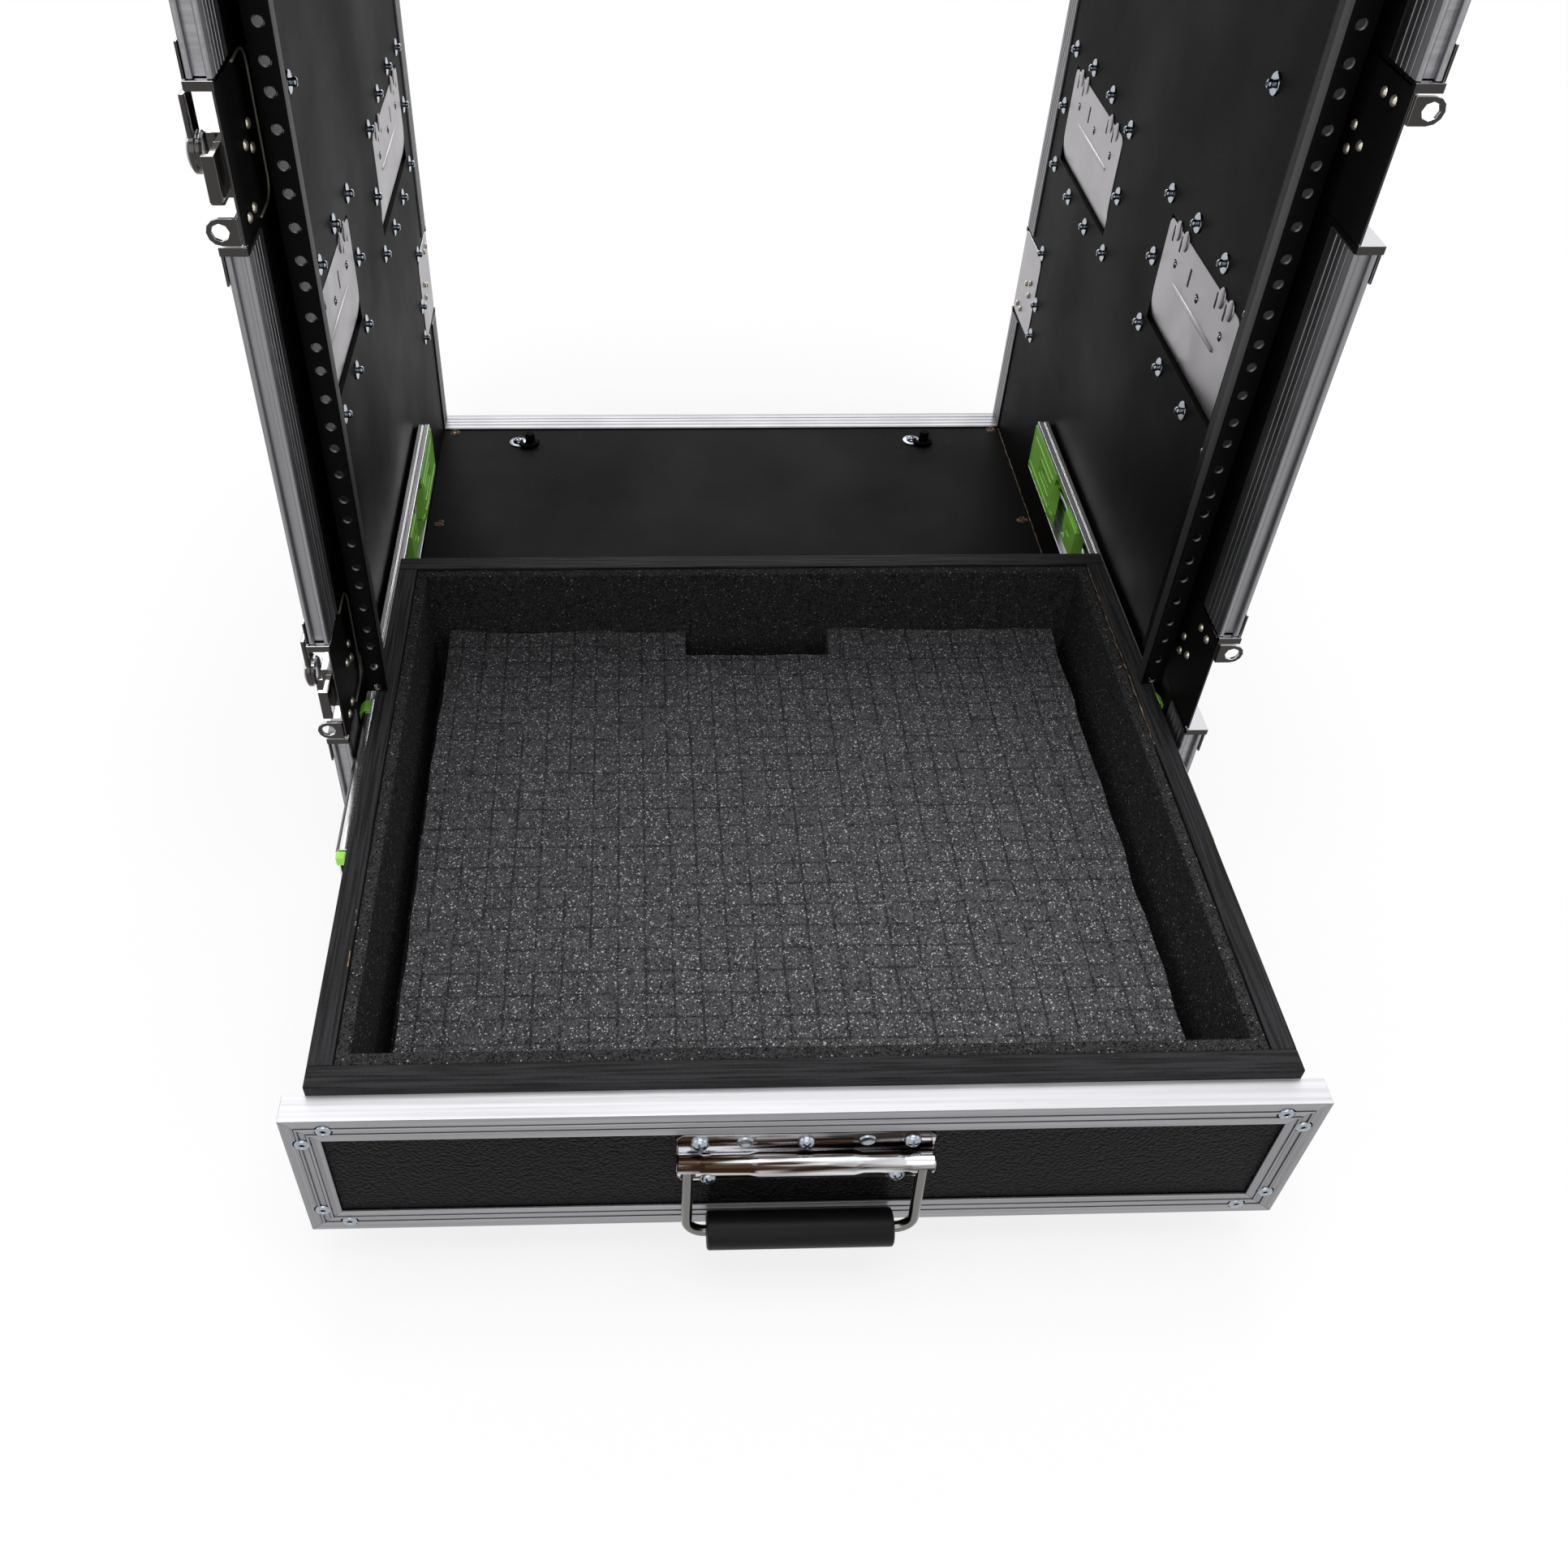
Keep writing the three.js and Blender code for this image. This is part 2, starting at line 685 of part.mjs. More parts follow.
function sideHandles() {
  const group = new THREE.Group();
  for (const side of sides) {
    handleDepths.forEach((depth, index) => {
      const place = `${ends[index].name}_${side.name}`;
      const mount = new THREE.Group();
      mount.position.set(side.sign * outerHalfWidth, depth, handleHeight);
      mount.rotation.z = side.sign < 0 ? Math.PI : 0;
      mount.add(mesh(`side_handle_dish_${place}`, handleDish(), finish.zinc));
      const bail = mesh(`side_handle_bail_${place}`, handleBail(), finish.chrome);
      bail.position.z = handleAxis();
      mount.add(bail);
      group.add(mount);
    });
  }
  return group;
}

// A latch dish at a case edge, in the frame of a front right latch:
// x zero at the wall's outer face, y zero at the case edge, z zero at the latch's middle
function latchDish(hasWing) {
  const floorFace = dishFloorOut + dishSheet;
  const plateOut = edgeWall + seatGap;
  const rise = latchPanHeight / 2;
  const dish = pressedDish({
    plateYs: [0, latchPlateDepth],
    plateZs: [-latchPlateHeight / 2, latchPlateHeight / 2],
    plateCorner: latchPlateCorner,
    panYs: [0, latchPanDepth],
    panZs: [-rise, rise],
    panRadii: [0, latchPanCorner, latchPanCorner, 0],
    plateOut,
    openEdge: true,
  });
  const lips = [-1, 1].map((way) => {
    const low = way * (rise - dishSheet);
    const high = way * (latchGapHeight / 2 - seatGap);
    const zs = [Math.min(low, high), Math.max(low, high)];
    return block([-edgeOut, plateOut + dishSheet], [-latchLipOut, latchLipBack], zs);
  });
  const pressed = join(dish, ...lips, padlockTab(floorFace));
  return hasWing ? turnBase(pressed, floorFace) : join(pressed, hookCatch(floorFace));
}

// The block that carries the thumb turn and its hook, joined to the dish
function turnBase(pressed, floorFace) {
  const baseYs = [latchAxisDepth - latchBaseDepth / 2, latchAxisDepth + latchBaseDepth / 2];
  const base = block([floorFace, latchBaseTop], baseYs, [-latchBaseHeight / 2, latchBaseHeight / 2]);
  const onAxis = (x) => [x, latchAxisDepth, 0];
  const boss = rod(latchBossRadius, onAxis(latchBaseTop - latchPinLength), onAxis(latchBossTop));
  const boreEnd = latchBossTop - latchPinLength - pinGap;
  const boreRadius = latchPinRadius + pinGap;
  const bore = rod(boreRadius, onAxis(boreEnd), onAxis(latchBossTop + cutOver), boreSides);
  const hookZs = [-latchHookHeight / 2, latchHookHeight / 2];
  const hookLow = floorFace + latchHookInset;
  const hookHigh = hookLow + latchHookThickness;
  const bar = block([hookLow, hookHigh], [-latchHookReach, baseYs[0]], hookZs);
  const nose = block([hookLow, latchBaseTop], [-latchHookReach, latchHookWall - latchHookReach], hookZs);
  return cut(join(pressed, base, boss, bar, nose), bore);
}

// The plain counterpart, a lug that the hook of another latch grips
function hookCatch(floorFace) {
  const zs = [-latchCatchHeight / 2, latchCatchHeight / 2];
  const base = block(
    [floorFace, floorFace + latchCatchWall],
    [latchCatchDepth, latchCatchDepth + latchCatchLength],
    zs,
  );
  const upright = block([floorFace, latchCatchTop], [latchCatchDepth, latchCatchDepth + latchCatchWall], zs);
  const lip = block(
    [latchCatchTop - latchCatchWall, latchCatchTop],
    [latchCatchDepth, latchCatchDepth + latchCatchLip],
    zs,
  );
  return join(base, upright, lip);
}

// A ring for a padlock in the plane of the case edge, on a foot riveted to the pan
function padlockTab(floorFace) {
  const zs = [latchTabHeight - latchTabRadius, latchTabHeight + latchTabRadius];
  const foot = block([floorFace, floorFace + latchTabFootWall], [-latchTabWall, latchTabFoot], zs);
  const arm = block([floorFace, 0], [-latchTabWall, 0], zs);
  const eye = rod(latchTabRadius, [0, -latchTabWall, latchTabHeight], [0, 0, latchTabHeight], gripSides);
  const holeStart = -latchTabWall - cutOver;
  const hole = rod(latchTabHole, [0, holeStart, latchTabHeight], [0, cutOver, latchTabHeight], boreSides);
  return cut(join(foot, arm, eye), hole);
}

// The thumb turn, with x and z as in the dish and y zero on its own axis
function latchWing() {
  const clear = edgeWall + seatGap + dishSheet + seatGap;
  const outline = new THREE.Shape();
  outline.moveTo(-wingHalfLength, clear);
  outline.lineTo(wingHalfLength, clear);
  outline.lineTo(wingHalfLength, wingTipTop);
  outline.lineTo(wingCrestHalf, wingTopOut);
  outline.lineTo(-wingCrestHalf, wingTopOut);
  outline.lineTo(-wingHalfLength, wingTipTop);
  const geometry = new THREE.ExtrudeGeometry(outline, { depth: wingThickness, bevelEnabled: false });
  const placed = new THREE.Matrix4().makeBasis(
    new THREE.Vector3(0, 0, 1),
    new THREE.Vector3(1, 0, 0),
    new THREE.Vector3(0, 1, 0),
  );
  geometry.applyMatrix4(placed);
  geometry.translate(0, -wingThickness / 2, 0);
  const hub = rod(wingHubRadius, [latchBossTop + seatGap, 0, 0], [wingHubTop, 0, 0]);
  const pin = rod(latchPinRadius, [latchBossTop - latchPinLength, 0, 0], [wingHubTop, 0, 0], boreSides);
  return join(toSolid(geometry), hub, pin);
}

function latches() {
  const group = new THREE.Group();
  for (const side of sides) {
    for (const end of ends) {
      for (const level of levels) {
        const place = `${end.name}_${level.name}_${side.name}`;
        const mount = new THREE.Group();
        mount.position.set(side.sign * outerHalfWidth, end.depth, level.height);
        // The same part serves all four edges, turned half round about one axis
        if (side.sign < 0 && end.sign < 0) mount.rotation.y = Math.PI;
        if (side.sign > 0 && end.sign > 0) mount.rotation.x = Math.PI;
        if (side.sign < 0 && end.sign > 0) mount.rotation.z = Math.PI;
        // Two edges that face each other across the case carry the thumb turns
        const hasWing = side.sign === end.sign;
        mount.add(mesh(`latch_dish_${place}`, latchDish(hasWing), finish.chrome));
        if (hasWing) {
          const wing = mesh(`latch_wing_${place}`, latchWing(), finish.chrome);
          wing.position.y = latchAxisDepth;
          mount.add(wing);
        }
        group.add(mount);
      }
    }
  }
  return group;
}

function feet() {
  const group = new THREE.Group();
  for (const side of sides) {
    footDepths.forEach((depth, index) => {
      const geometry = new THREE.CylinderGeometry(footTopRadius, footBottomRadius, footHeight, footSides);
      geometry.rotateX(Math.PI / 2);
      const foot = mesh(`foot_${ends[index].name}_${side.name}`, geometry, finish.rubber);
      foot.position.set(side.sign * footHalfSpacing, depth, floorUnder - footHeight / 2);
      group.add(foot);
    });
  }
  return group;
}

function drawerBox() {
  const outer = block(
    [-drawerHalfWidth, drawerHalfWidth],
    [drawerBoxFront, drawerBoxBack],
    [drawerBoxBottom, drawerRim],
  );
  const well = block(
    [drawerPly - drawerHalfWidth, drawerHalfWidth - drawerPly],
    [drawerBoxFront + drawerPly, drawerBoxBack - drawerPly],
    [drawerBoxBottom + drawerFloor, drawerRim + cutOver],
  );
  return mesh('drawer_box', cut(outer, well), finish.plywood);
}

// A foam tray that lines the box, and a slab of cubed foam that lies in it
function drawerFoam() {
  const halfOut = drawerHalfWidth - drawerPly - seatGap;
  const ys = [drawerBoxFront + drawerPly + seatGap, drawerBoxBack - drawerPly - seatGap];
  const base = drawerBoxBottom + drawerFloor + seatGap;
  const linerTop = drawerRim - linerDrop;
  const linerFloor = base + foamLinerFloor;
  const body = block([-halfOut, halfOut], ys, [base, linerTop]);
  const halfIn = halfOut - linerThickness;
  const wellYs = [ys[0] + linerThickness, ys[1] - linerThickness];
  const well = block([-halfIn, halfIn], wellYs, [linerFloor, linerTop + cutOver]);
  const halfSlab = halfIn - foamSideGap;
  const slabYs = [wellYs[0] + seatGap, wellYs[1] - seatGap];
  const slab = block([-halfSlab, halfSlab], slabYs, [linerFloor + seatGap, foamTop]);
  const notchXs = [foamNotchShift - foamNotchWidth / 2, foamNotchShift + foamNotchWidth / 2];
  const notch = block(
    notchXs,
    [slabYs[1] - foamNotchDepth, slabYs[1] + cutOver],
    [linerFloor - cutOver, foamTop + cutOver],
  );
  return [
    mesh('drawer_foam_liner', cut(body, well), finish.foam),
    mesh('drawer_foam_slab', cut(slab, notch), finish.foam),
  ];
}

function drawerFrontPanel() {
  const half = drawerFrontHalfWidth - frameWall;
  const panel = block(
    [-half, half],
    [drawerFrontCore, drawerBoxFront],
    [drawerFrontBottom + frameWall, drawerFrontTop - frameWall],
  );
  return mesh('drawer_front_panel', panel, finish.laminate);
}

// Angle profile that frames the drawer front: out from its outer edge, in from its face
function frameProfile() {
  const points = [[-frameWall, drawerFrontThickness], [-frameWall, frameWall], [-frameFlange, frameWall]];
  points.push([-frameFlange, 0]);
  for (let rib = frameRibs - 1; rib >= 0; rib -= 1) {
    const start = frameRibStart + rib * frameRibPitch;
    points.push([-start - frameRibWidth, 0], [-start - frameRibWidth, -frameRibHeight]);
    points.push([-start, -frameRibHeight], [-start, 0]);
  }
  points.push([0, 0], [0, drawerFrontThickness]);
  return points;
}

function drawerFrontFrame() {
  const corner = (x, z, outX, outZ) => ({ x, z, outX, outZ });
  const half = drawerFrontHalfWidth;
  const stations = [
    corner(-half, drawerFrontBottom, -1, -1),
    corner(half, drawerFrontBottom, 1, -1),
    corner(half, drawerFrontTop, 1, 1),
    corner(-half, drawerFrontTop, -1, 1),
  ];
  const geometry = sweptFrame(frameProfile(), stations, drawerFrontFace, 1, true);
  return mesh('drawer_front_frame', geometry, finish.aluminium);
}

// The drop handle is drawn facing +X like the side handles, then turned to face the front.
// Its barrel runs the whole width, with a slot for each leg to swing in.
function drawerPull() {
  const plate = sidePlate(
    roundedOutline([-pullHalfWidth, pullHalfWidth], [pullBottom, pullTop], Array(4).fill(pullSheet)),
    [0, pullSheet],
  );
  const onAxis = (y) => [pullAxisOut, y, pullAxisHeight];
  const tube = rod(pullBarrelRadius, onAxis(-pullHalfWidth), onAxis(pullHalfWidth));
  const hollow = pullWireRadius + pullLegGap;
  const legHalf = pullLegSpacing / 2;
  const cuts = [-1, 1].flatMap((way) => {
    const inner = way * (legHalf - pullPinLength - pinGap);
    const ys = [way * legHalf - hollow, way * legHalf + hollow];
    const swing = block(
      [pullAxisOut - hollow, pullAxisOut + pullBarrelRadius * 2],
      ys,
      [pullAxisHeight - pullBarrelRadius * 2, pullAxisHeight + hollow],
    );
    return [rod(hollow, onAxis(inner), onAxis(way * legHalf), boreSides), swing];
  });
  const sizes = {
    wire: pullWireRadius,
    pinStart: legHalf - pullPinLength,
    legSpacing: pullLegSpacing,
    drop: pullLegDrop,
    lean: pullLegLean,
    pinBend: pullPinBend,
    gripBend: pullGripBend,
    gripRadius: pullGripRadius,
    gripLength: (pullHalfWidth - pullGripInset) * 2,
  };
  const bore = rod(
    pullWireRadius + seatGap,
    [pullLegLean, -pullHalfWidth, -pullLegDrop],
    [pullLegLean, pullHalfWidth, -pullLegDrop],
  );
  const group = new THREE.Group();
  group.position.y = drawerFrontCore - seatGap;
  group.rotation.z = -Math.PI / 2;
  group.add(mesh('drawer_pull_plate', cut(join(plate, tube), ...cuts), finish.chrome));
  const bail = new THREE.Group();
  bail.position.set(pullAxisOut, 0, pullAxisHeight);
  bail.add(mesh('drawer_pull_bail', wireBail(sizes), finish.chrome));
  bail.add(mesh('drawer_pull_grip', cut(bailGrip(sizes), bore), finish.rubber));
  group.add(bail);
  return group;
}

// A C channel with its web at one distance from the wall and its mouth at another
function channelPoints(web, mouth, half) {
  const step = Math.sign(mouth - web) * slideSheet;
  return [
    [web, -half],
    [mouth, -half],
    [mouth, slideSheet - half],
    [web + step, slideSheet - half],
    [web + step, half - slideSheet],
    [mouth, half - slideSheet],
    [mouth, half],
    [web, half],
  ];
}

// A solid along the depth, from points given as (off the wall, above the slide's middle)
function extrudeAlongDepth(side, points, ys) {
  const outline = new THREE.Shape();
  const placed = points.map(([off, rise]) => [side.sign * (innerHalfWidth - off), slideMiddleHeight + rise]);
  outline.moveTo(...placed[0]);
  placed.slice(1).forEach((point) => outline.lineTo(...point));
  const geometry = new THREE.ExtrudeGeometry(outline, { depth: ys[1] - ys[0], bevelEnabled: false });
  const placement = new THREE.Matrix4().makeBasis(
    new THREE.Vector3(1, 0, 0),
    new THREE.Vector3(0, 0, 1),
    new THREE.Vector3(0, -1, 0),
  );
  geometry.applyMatrix4(placement);
  geometry.translate(0, ys[1], 0);
  return toSolid(geometry);
}

// Half heights of the three nested slide members
function slideHalves() {
  const cabinet = slideHeight / 2;
  const middle = cabinet - slideSheet - slideGap;
  const drawer = middle - slideSheet - slideGap;
  return { cabinet, middle, drawer };
}

function cabinetMember(side) {
  const { cabinet } = slideHalves();
  const mouth = slideThickness - slideMouthInset;
  const ys = [slideCabinetFront, slideCabinetBack];
  const channel = extrudeAlongDepth(side, channelPoints(0, mouth, cabinet), ys);
  const grooveYs = [ys[0] - cutOver, ys[1] + cutOver];
  const grooves = [-1, 1].map((way) => {
    const deep = way * (cabinet - slideGrooveDepth);
    const clear = way * (cabinet + slideGrooveDepth);
    const points = [
      [mouth / 2, deep],
      [mouth / 2 + slideGrooveWidth, clear],
      [mouth / 2 - slideGrooveWidth, clear],
    ];
    return extrudeAlongDepth(side, points, grooveYs);
  });
  return mesh(`slide_cabinet_member_${side.name}`, cut(channel, ...grooves), finish.zinc);
}

// Green plastic cap on the front end of the cabinet member, which the drawer front meets
function frontStop(side) {
  const { cabinet } = slideHalves();
  const points = channelPoints(0, slideThickness - slideMouthInset, cabinet);
  const solid = extrudeAlongDepth(side, points, [slideStopFront, slideCabinetFront - seatGap]);
  return mesh(`slide_front_stop_${side.name}`, solid, finish.greenPlastic);
}

function middleMember(side) {
  const { middle } = slideHalves();
  const web = slideSheet + slideGap;
  const points = channelPoints(web, slideThickness - slideMiddleInset, middle);
  const solid = extrudeAlongDepth(side, points, [slideMiddleFront, slideMiddleFront + slideMiddleLength]);
  return mesh(`slide_middle_member_${side.name}`, solid, finish.zinc);
}

function drawerMember(side) {
  const { drawer } = slideHalves();
  const start = drawerBoxFront + slideDrawerSetBack;
  const mouth = slideSheet * 2 + slideGap * 3;
  const points = channelPoints(slideThickness, mouth, drawer);
  const solid = extrudeAlongDepth(side, points, [start, start + slideDrawerLength]);
  return mesh(`slide_drawer_member_${side.name}`, solid, finish.zinc);
}

// Green plastic unit in the rear of the cabinet member; its catch reaches forwards between the members
function softCloseUnit(side) {
  const { cabinet, drawer } = slideHalves();
  const span = (from, to, low, high, ys) => {
    const points = [[from, low], [to, low], [to, high], [from, high]];
    return extrudeAlongDepth(side, points, ys);
  };
  const bodyHalf = cabinet - slideSheet - slideGap;
  const near = slideSheet + slideGap;
  const far = slideThickness - softFaceInset;
  const bodyFront = slideCabinetBack - softBodyLength;
  const body = span(near, far, -bodyHalf, bodyHalf, [bodyFront, slideCabinetBack]);
  const coreHalf = drawer - slideSheet - slideGap;
  const coreNear = slideSheet * 2 + slideGap * 3;
  const coreFar = slideThickness - slideSheet - slideGap;
  const catchBack = softCatchFront + softCatchLength;
  const catchBlock = span(coreNear, coreFar, -coreHalf, coreHalf, [softCatchFront, catchBack]);
  const armYs = [softCatchFront, bodyFront + cutOver];
  const arm = span(coreNear, coreFar, coreHalf - softArmHeight, coreHalf, armYs);
  const slotStart = bodyFront + softSlotLength / 2;
  const slotYs = [slotStart, slotStart + softSlotLength];
  const slot = span(near - cutOver, far + cutOver, -softSlotHeight / 2, softSlotHeight / 2, slotYs);
  return mesh(`soft_close_unit_${side.name}`, cut(join(body, catchBlock, arm), slot), finish.greenPlastic);
}

// Assembly

const roadCase = new THREE.Group();
roadCase.position.set(0, -(frontReach + rearReach) / 2, -groundHeight);

sides.forEach((side) => roadCase.add(sideWall(side)));
roadCase.add(flatPanel('floor_panel', [floorUnder, floorTop]));
roadCase.add(flatPanel('top_panel', [topUnder, topOver]));
ends.forEach((end) => roadCase.add(...edgePieces(end)));
for (const side of sides) {
  roadCase.add(longEdge(side, 'bottom'), longEdge(side, 'top'));
  roadCase.add(rackRail(side));
  roadCase.add(cabinetMember(side), middleMember(side), drawerMember(side));
  roadCase.add(frontStop(side), softCloseUnit(side));
}
roadCase.add(sideHandles(), latches(), feet());
roadCase.add(drawerBox(), ...drawerFoam(), drawerFrontPanel(), drawerFrontFrame(), drawerPull());

const part = new THREE.Group();
part.add(roadCase);
part.updateMatrixWorld(true);

export default part;
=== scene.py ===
# A road case for rack gear, open at both ends, with one drawer pulled out
from math import exp, pi, radians, tan

import bmesh
import bpy
from mathutils import Matrix, Vector, noise


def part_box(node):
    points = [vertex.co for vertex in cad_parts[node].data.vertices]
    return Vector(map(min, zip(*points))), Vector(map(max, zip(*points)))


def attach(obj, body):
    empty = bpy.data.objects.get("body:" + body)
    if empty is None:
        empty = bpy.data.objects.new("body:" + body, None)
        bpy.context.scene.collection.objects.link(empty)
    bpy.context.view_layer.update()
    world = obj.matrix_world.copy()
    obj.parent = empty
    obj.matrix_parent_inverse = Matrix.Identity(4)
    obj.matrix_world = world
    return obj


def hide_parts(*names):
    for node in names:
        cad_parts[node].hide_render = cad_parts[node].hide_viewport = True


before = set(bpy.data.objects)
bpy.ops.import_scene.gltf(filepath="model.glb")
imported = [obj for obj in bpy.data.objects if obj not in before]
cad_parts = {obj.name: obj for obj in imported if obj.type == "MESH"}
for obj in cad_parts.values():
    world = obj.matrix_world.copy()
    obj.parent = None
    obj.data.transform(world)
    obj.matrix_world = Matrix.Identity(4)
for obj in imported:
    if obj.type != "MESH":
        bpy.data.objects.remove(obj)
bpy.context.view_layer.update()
mm = 0.001


# Camera
# A wide lens looks down into the open front of the case from head height. The frame is
# shifted a little, because the photograph is a crop of a larger one.
lens = bpy.data.cameras.new("studio_camera")
lens.lens = 32.91
lens.sensor_width = 36
lens.shift_x = 0.0673
lens.shift_y = -0.0287
camera = bpy.data.objects.new("studio_camera", lens)
bpy.context.scene.collection.objects.link(camera)
camera_place = (-77.36, -738.55, 715.7)
camera_turns = (46.079, -0.653, -1.56)
camera.location = Vector(camera_place) * mm
camera.rotation_euler = [radians(angle) for angle in camera_turns]
bpy.context.scene.camera = camera
bpy.context.scene.view_settings.view_transform = "Standard"


# Studio
# A pale seamless floor, a white surround and five wide soft lamps: over the case, behind
# it, behind the camera and at each side.
def tint(red, green, blue):
    """A colour as a screen shows it, 0 to 255, turned into light."""
    levels = [level / 255 for level in (red, green, blue)]
    light = [level / 12.92 if level < 0.04 else ((level + 0.055) / 1.055) ** 2.4 for level in levels]
    return (*light, 1)


class Signal:
    """A node's output. Sums and comparisons on it add Math nodes."""

    def __init__(self, finish, socket):
        self.finish = finish
        self.socket = socket

    def maths(self, operation, first, second):
        return self.finish.node("ShaderNodeMath", {"operation": operation}, {0: first, 1: second})

    def __add__(self, other):
        return self.maths("ADD", self, other)

    def __sub__(self, other):
        return self.maths("SUBTRACT", self, other)

    def __rsub__(self, other):
        return self.maths("SUBTRACT", other, self)

    def __mul__(self, other):
        return self.maths("MULTIPLY", self, other)

    def __mod__(self, other):
        return self.maths("FLOORED_MODULO", self, other)

    def __gt__(self, other):
        return self.maths("GREATER_THAN", self, other)

    __radd__ = __add__
    __rmul__ = __mul__


class Finish:
    """The finish of a surface, which grows as nodes are asked for."""

    def __init__(self, name, colour, roughness, metallic=0.0):
        self.material = bpy.data.materials.new(name)
        self.material.use_nodes = True
        self.tree = self.material.node_tree
        self.shader = self.tree.nodes["Principled BSDF"]
        self.place = self.node("ShaderNodeTexCoord", {}, {}, "Object")
        self.set(**{"Base Color": colour, "Roughness": roughness, "Metallic": metallic})

    def node(self, kind, settings, sockets, output=0):
        made = self.tree.nodes.new(kind)
        for name, value in settings.items():
            setattr(made, name, value)
        for name, value in sockets.items():
            self.feed(made.inputs[name], value)
        return Signal(self, made.outputs[output])

    def feed(self, socket, value):
        if isinstance(value, Signal):
            self.tree.links.new(value.socket, socket)
        else:
            socket.default_value = value

    def set(self, **sockets):
        for name, value in sockets.items():
            self.feed(self.shader.inputs[name], value)

    def noise(self, scale, detail=2.0, stretch=(1, 1, 1)):
        """Cloudy noise from 0 to 1, drawn out along the axes where stretch is small."""
        place = self.node("ShaderNodeMapping", {}, {"Vector": self.place, "Scale": stretch})
        return self.node("ShaderNodeTexNoise", {}, {"Vector": place, "Scale": scale, "Detail": detail})

    def between(self, share, first, second):
        """The first colour where share is 0, and the second where it is 1."""
        return self.node("ShaderNodeMix", {"data_type": "RGBA"}, {0: share, 6: first, 7: second}, 2)

    def ramp(self, value, low, high, bottom=0.0, top=1.0):
        """A value spread from low...high to bottom...top, and held there outside."""
        sockets = {"Value": value, "From Min": low, "From Max": high, "To Min": bottom, "To Max": top}
        return self.node("ShaderNodeMapRange", {}, sockets)

    def relief(self, height, depth):
        """Raises the surface by depth, in metres, where height is 1."""
        self.set(Normal=self.node("ShaderNodeBump", {}, {"Height": height, "Distance": depth}))


def studio_mix(tree, white, lit, output):
    """Shows white to the camera and to reflections, and lit to all other light."""
    path = tree.nodes.new("ShaderNodeLightPath")
    seen = path.outputs["Is Camera Ray"]
    for ray in ("Is Glossy Ray", "Is Transmission Ray"):
        either = tree.nodes.new("ShaderNodeMath")
        either.operation = "MAXIMUM"
        tree.links.new(seen, either.inputs[0])
        tree.links.new(path.outputs[ray], either.inputs[1])
        seen = either.outputs[0]
    mix = tree.nodes.new("ShaderNodeMixShader")
    tree.links.new(lit, mix.inputs[1])
    tree.links.new(white, mix.inputs[2])
    tree.links.new(mix.outputs[0], output)
    return seen, mix.inputs[0]


floor_colour = tint(244, 244, 245)
floor_shown_share = 0.8
fade_start = 0.8
fade_end = 2.6
floor_half_width = 40.0
shape = bmesh.new()
bmesh.ops.create_grid(shape, x_segments=1, y_segments=1, size=floor_half_width)
floor_mesh = bpy.data.meshes.new("studio_floor")
shape.to_mesh(floor_mesh)
shape.free()
floor = bpy.data.objects.new("studio_floor", floor_mesh)
bpy.context.scene.collection.objects.link(floor)
floor_finish = Finish("studio_floor", floor_colour, 0.9)
glow = floor_finish.tree.nodes.new("ShaderNodeEmission")
floor_output = floor_finish.tree.nodes["Material Output"].inputs["Surface"]
seen, factor = studio_mix(floor_finish.tree, glow.outputs[0], floor_finish.shader.outputs[0], floor_output)
distance = floor_finish.node("ShaderNodeVectorMath", {"operation": "LENGTH"}, {0: floor_finish.place}, 1)
shown = Signal(floor_finish, seen) * floor_finish.ramp(distance, fade_start, fade_end, floor_shown_share, 1.0)
floor_finish.tree.links.new(shown.socket, factor)
floor_mesh.materials.append(floor_finish.material)

surround_level = 0.38
world = bpy.data.worlds.new("studio")
world.use_nodes = True
bpy.context.scene.world = world
surround = world.node_tree.nodes["Background"]
surround.inputs["Color"].default_value = (1, 1, 1, 1)
surround.inputs["Strength"].default_value = surround_level
backdrop = world.node_tree.nodes.new("ShaderNodeBackground")
backdrop.inputs["Color"].default_value = (1, 1, 1, 1)
world_output = world.node_tree.nodes["World Output"].inputs["Surface"]
seen, factor = studio_mix(world.node_tree, backdrop.outputs[0], surround.outputs[0], world_output)
world.node_tree.links.new(seen, factor)

lamp_target = Vector((0, 0, 0.25))
for name, place, size, power in (
        ("lamp_over_case", (0.0, -0.1, 2.5), 1.8, 40),
        ("lamp_behind_case", (0.0, 3.0, 2.3), 2.4, 56),
        ("lamp_behind_camera", (-0.3, -2.4, 1.9), 1.8, 14),
        ("lamp_left", (-2.4, -0.6, 1.4), 1.6, 9),
        ("lamp_right", (2.4, -0.6, 1.4), 1.6, 9)):
    lamp = bpy.data.lights.new(name, "AREA")
    lamp.size = size
    lamp.energy = power
    lamp_object = bpy.data.objects.new(name, lamp)
    bpy.context.scene.collection.objects.link(lamp_object)
    lamp_object.visible_camera = False
    lamp_object.location = place
    lamp_object.rotation_euler = (lamp_target - Vector(place)).to_track_quat("-Z", "Y").to_euler()


# Walls, floor and top
# Sheets of 9 mm plywood with a black laminate glued on. The inner faces are smooth and
# satin, and the outer ones have a pebbled skin.
def at(x, y, z):
    """A place in mm from the middle of the rack rails' front, level with the lowest unit."""
    rail_front = -97.95
    lowest_unit = 137.5
    return Vector((x, y + rail_front, z + lowest_unit)) * mm


weld_distance = 0.002 * mm
flat_angle = radians(0.3)


def merged(node):
    """A CAD node's shape, with its loose triangles joined into whole faces."""
    shape = bmesh.new()
    shape.from_mesh(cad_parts[node].data)
    bmesh.ops.remove_doubles(shape, verts=shape.verts, dist=weld_distance)
    bmesh.ops.dissolve_limit(shape, angle_limit=flat_angle, verts=shape.verts, edges=shape.edges)
    return shape


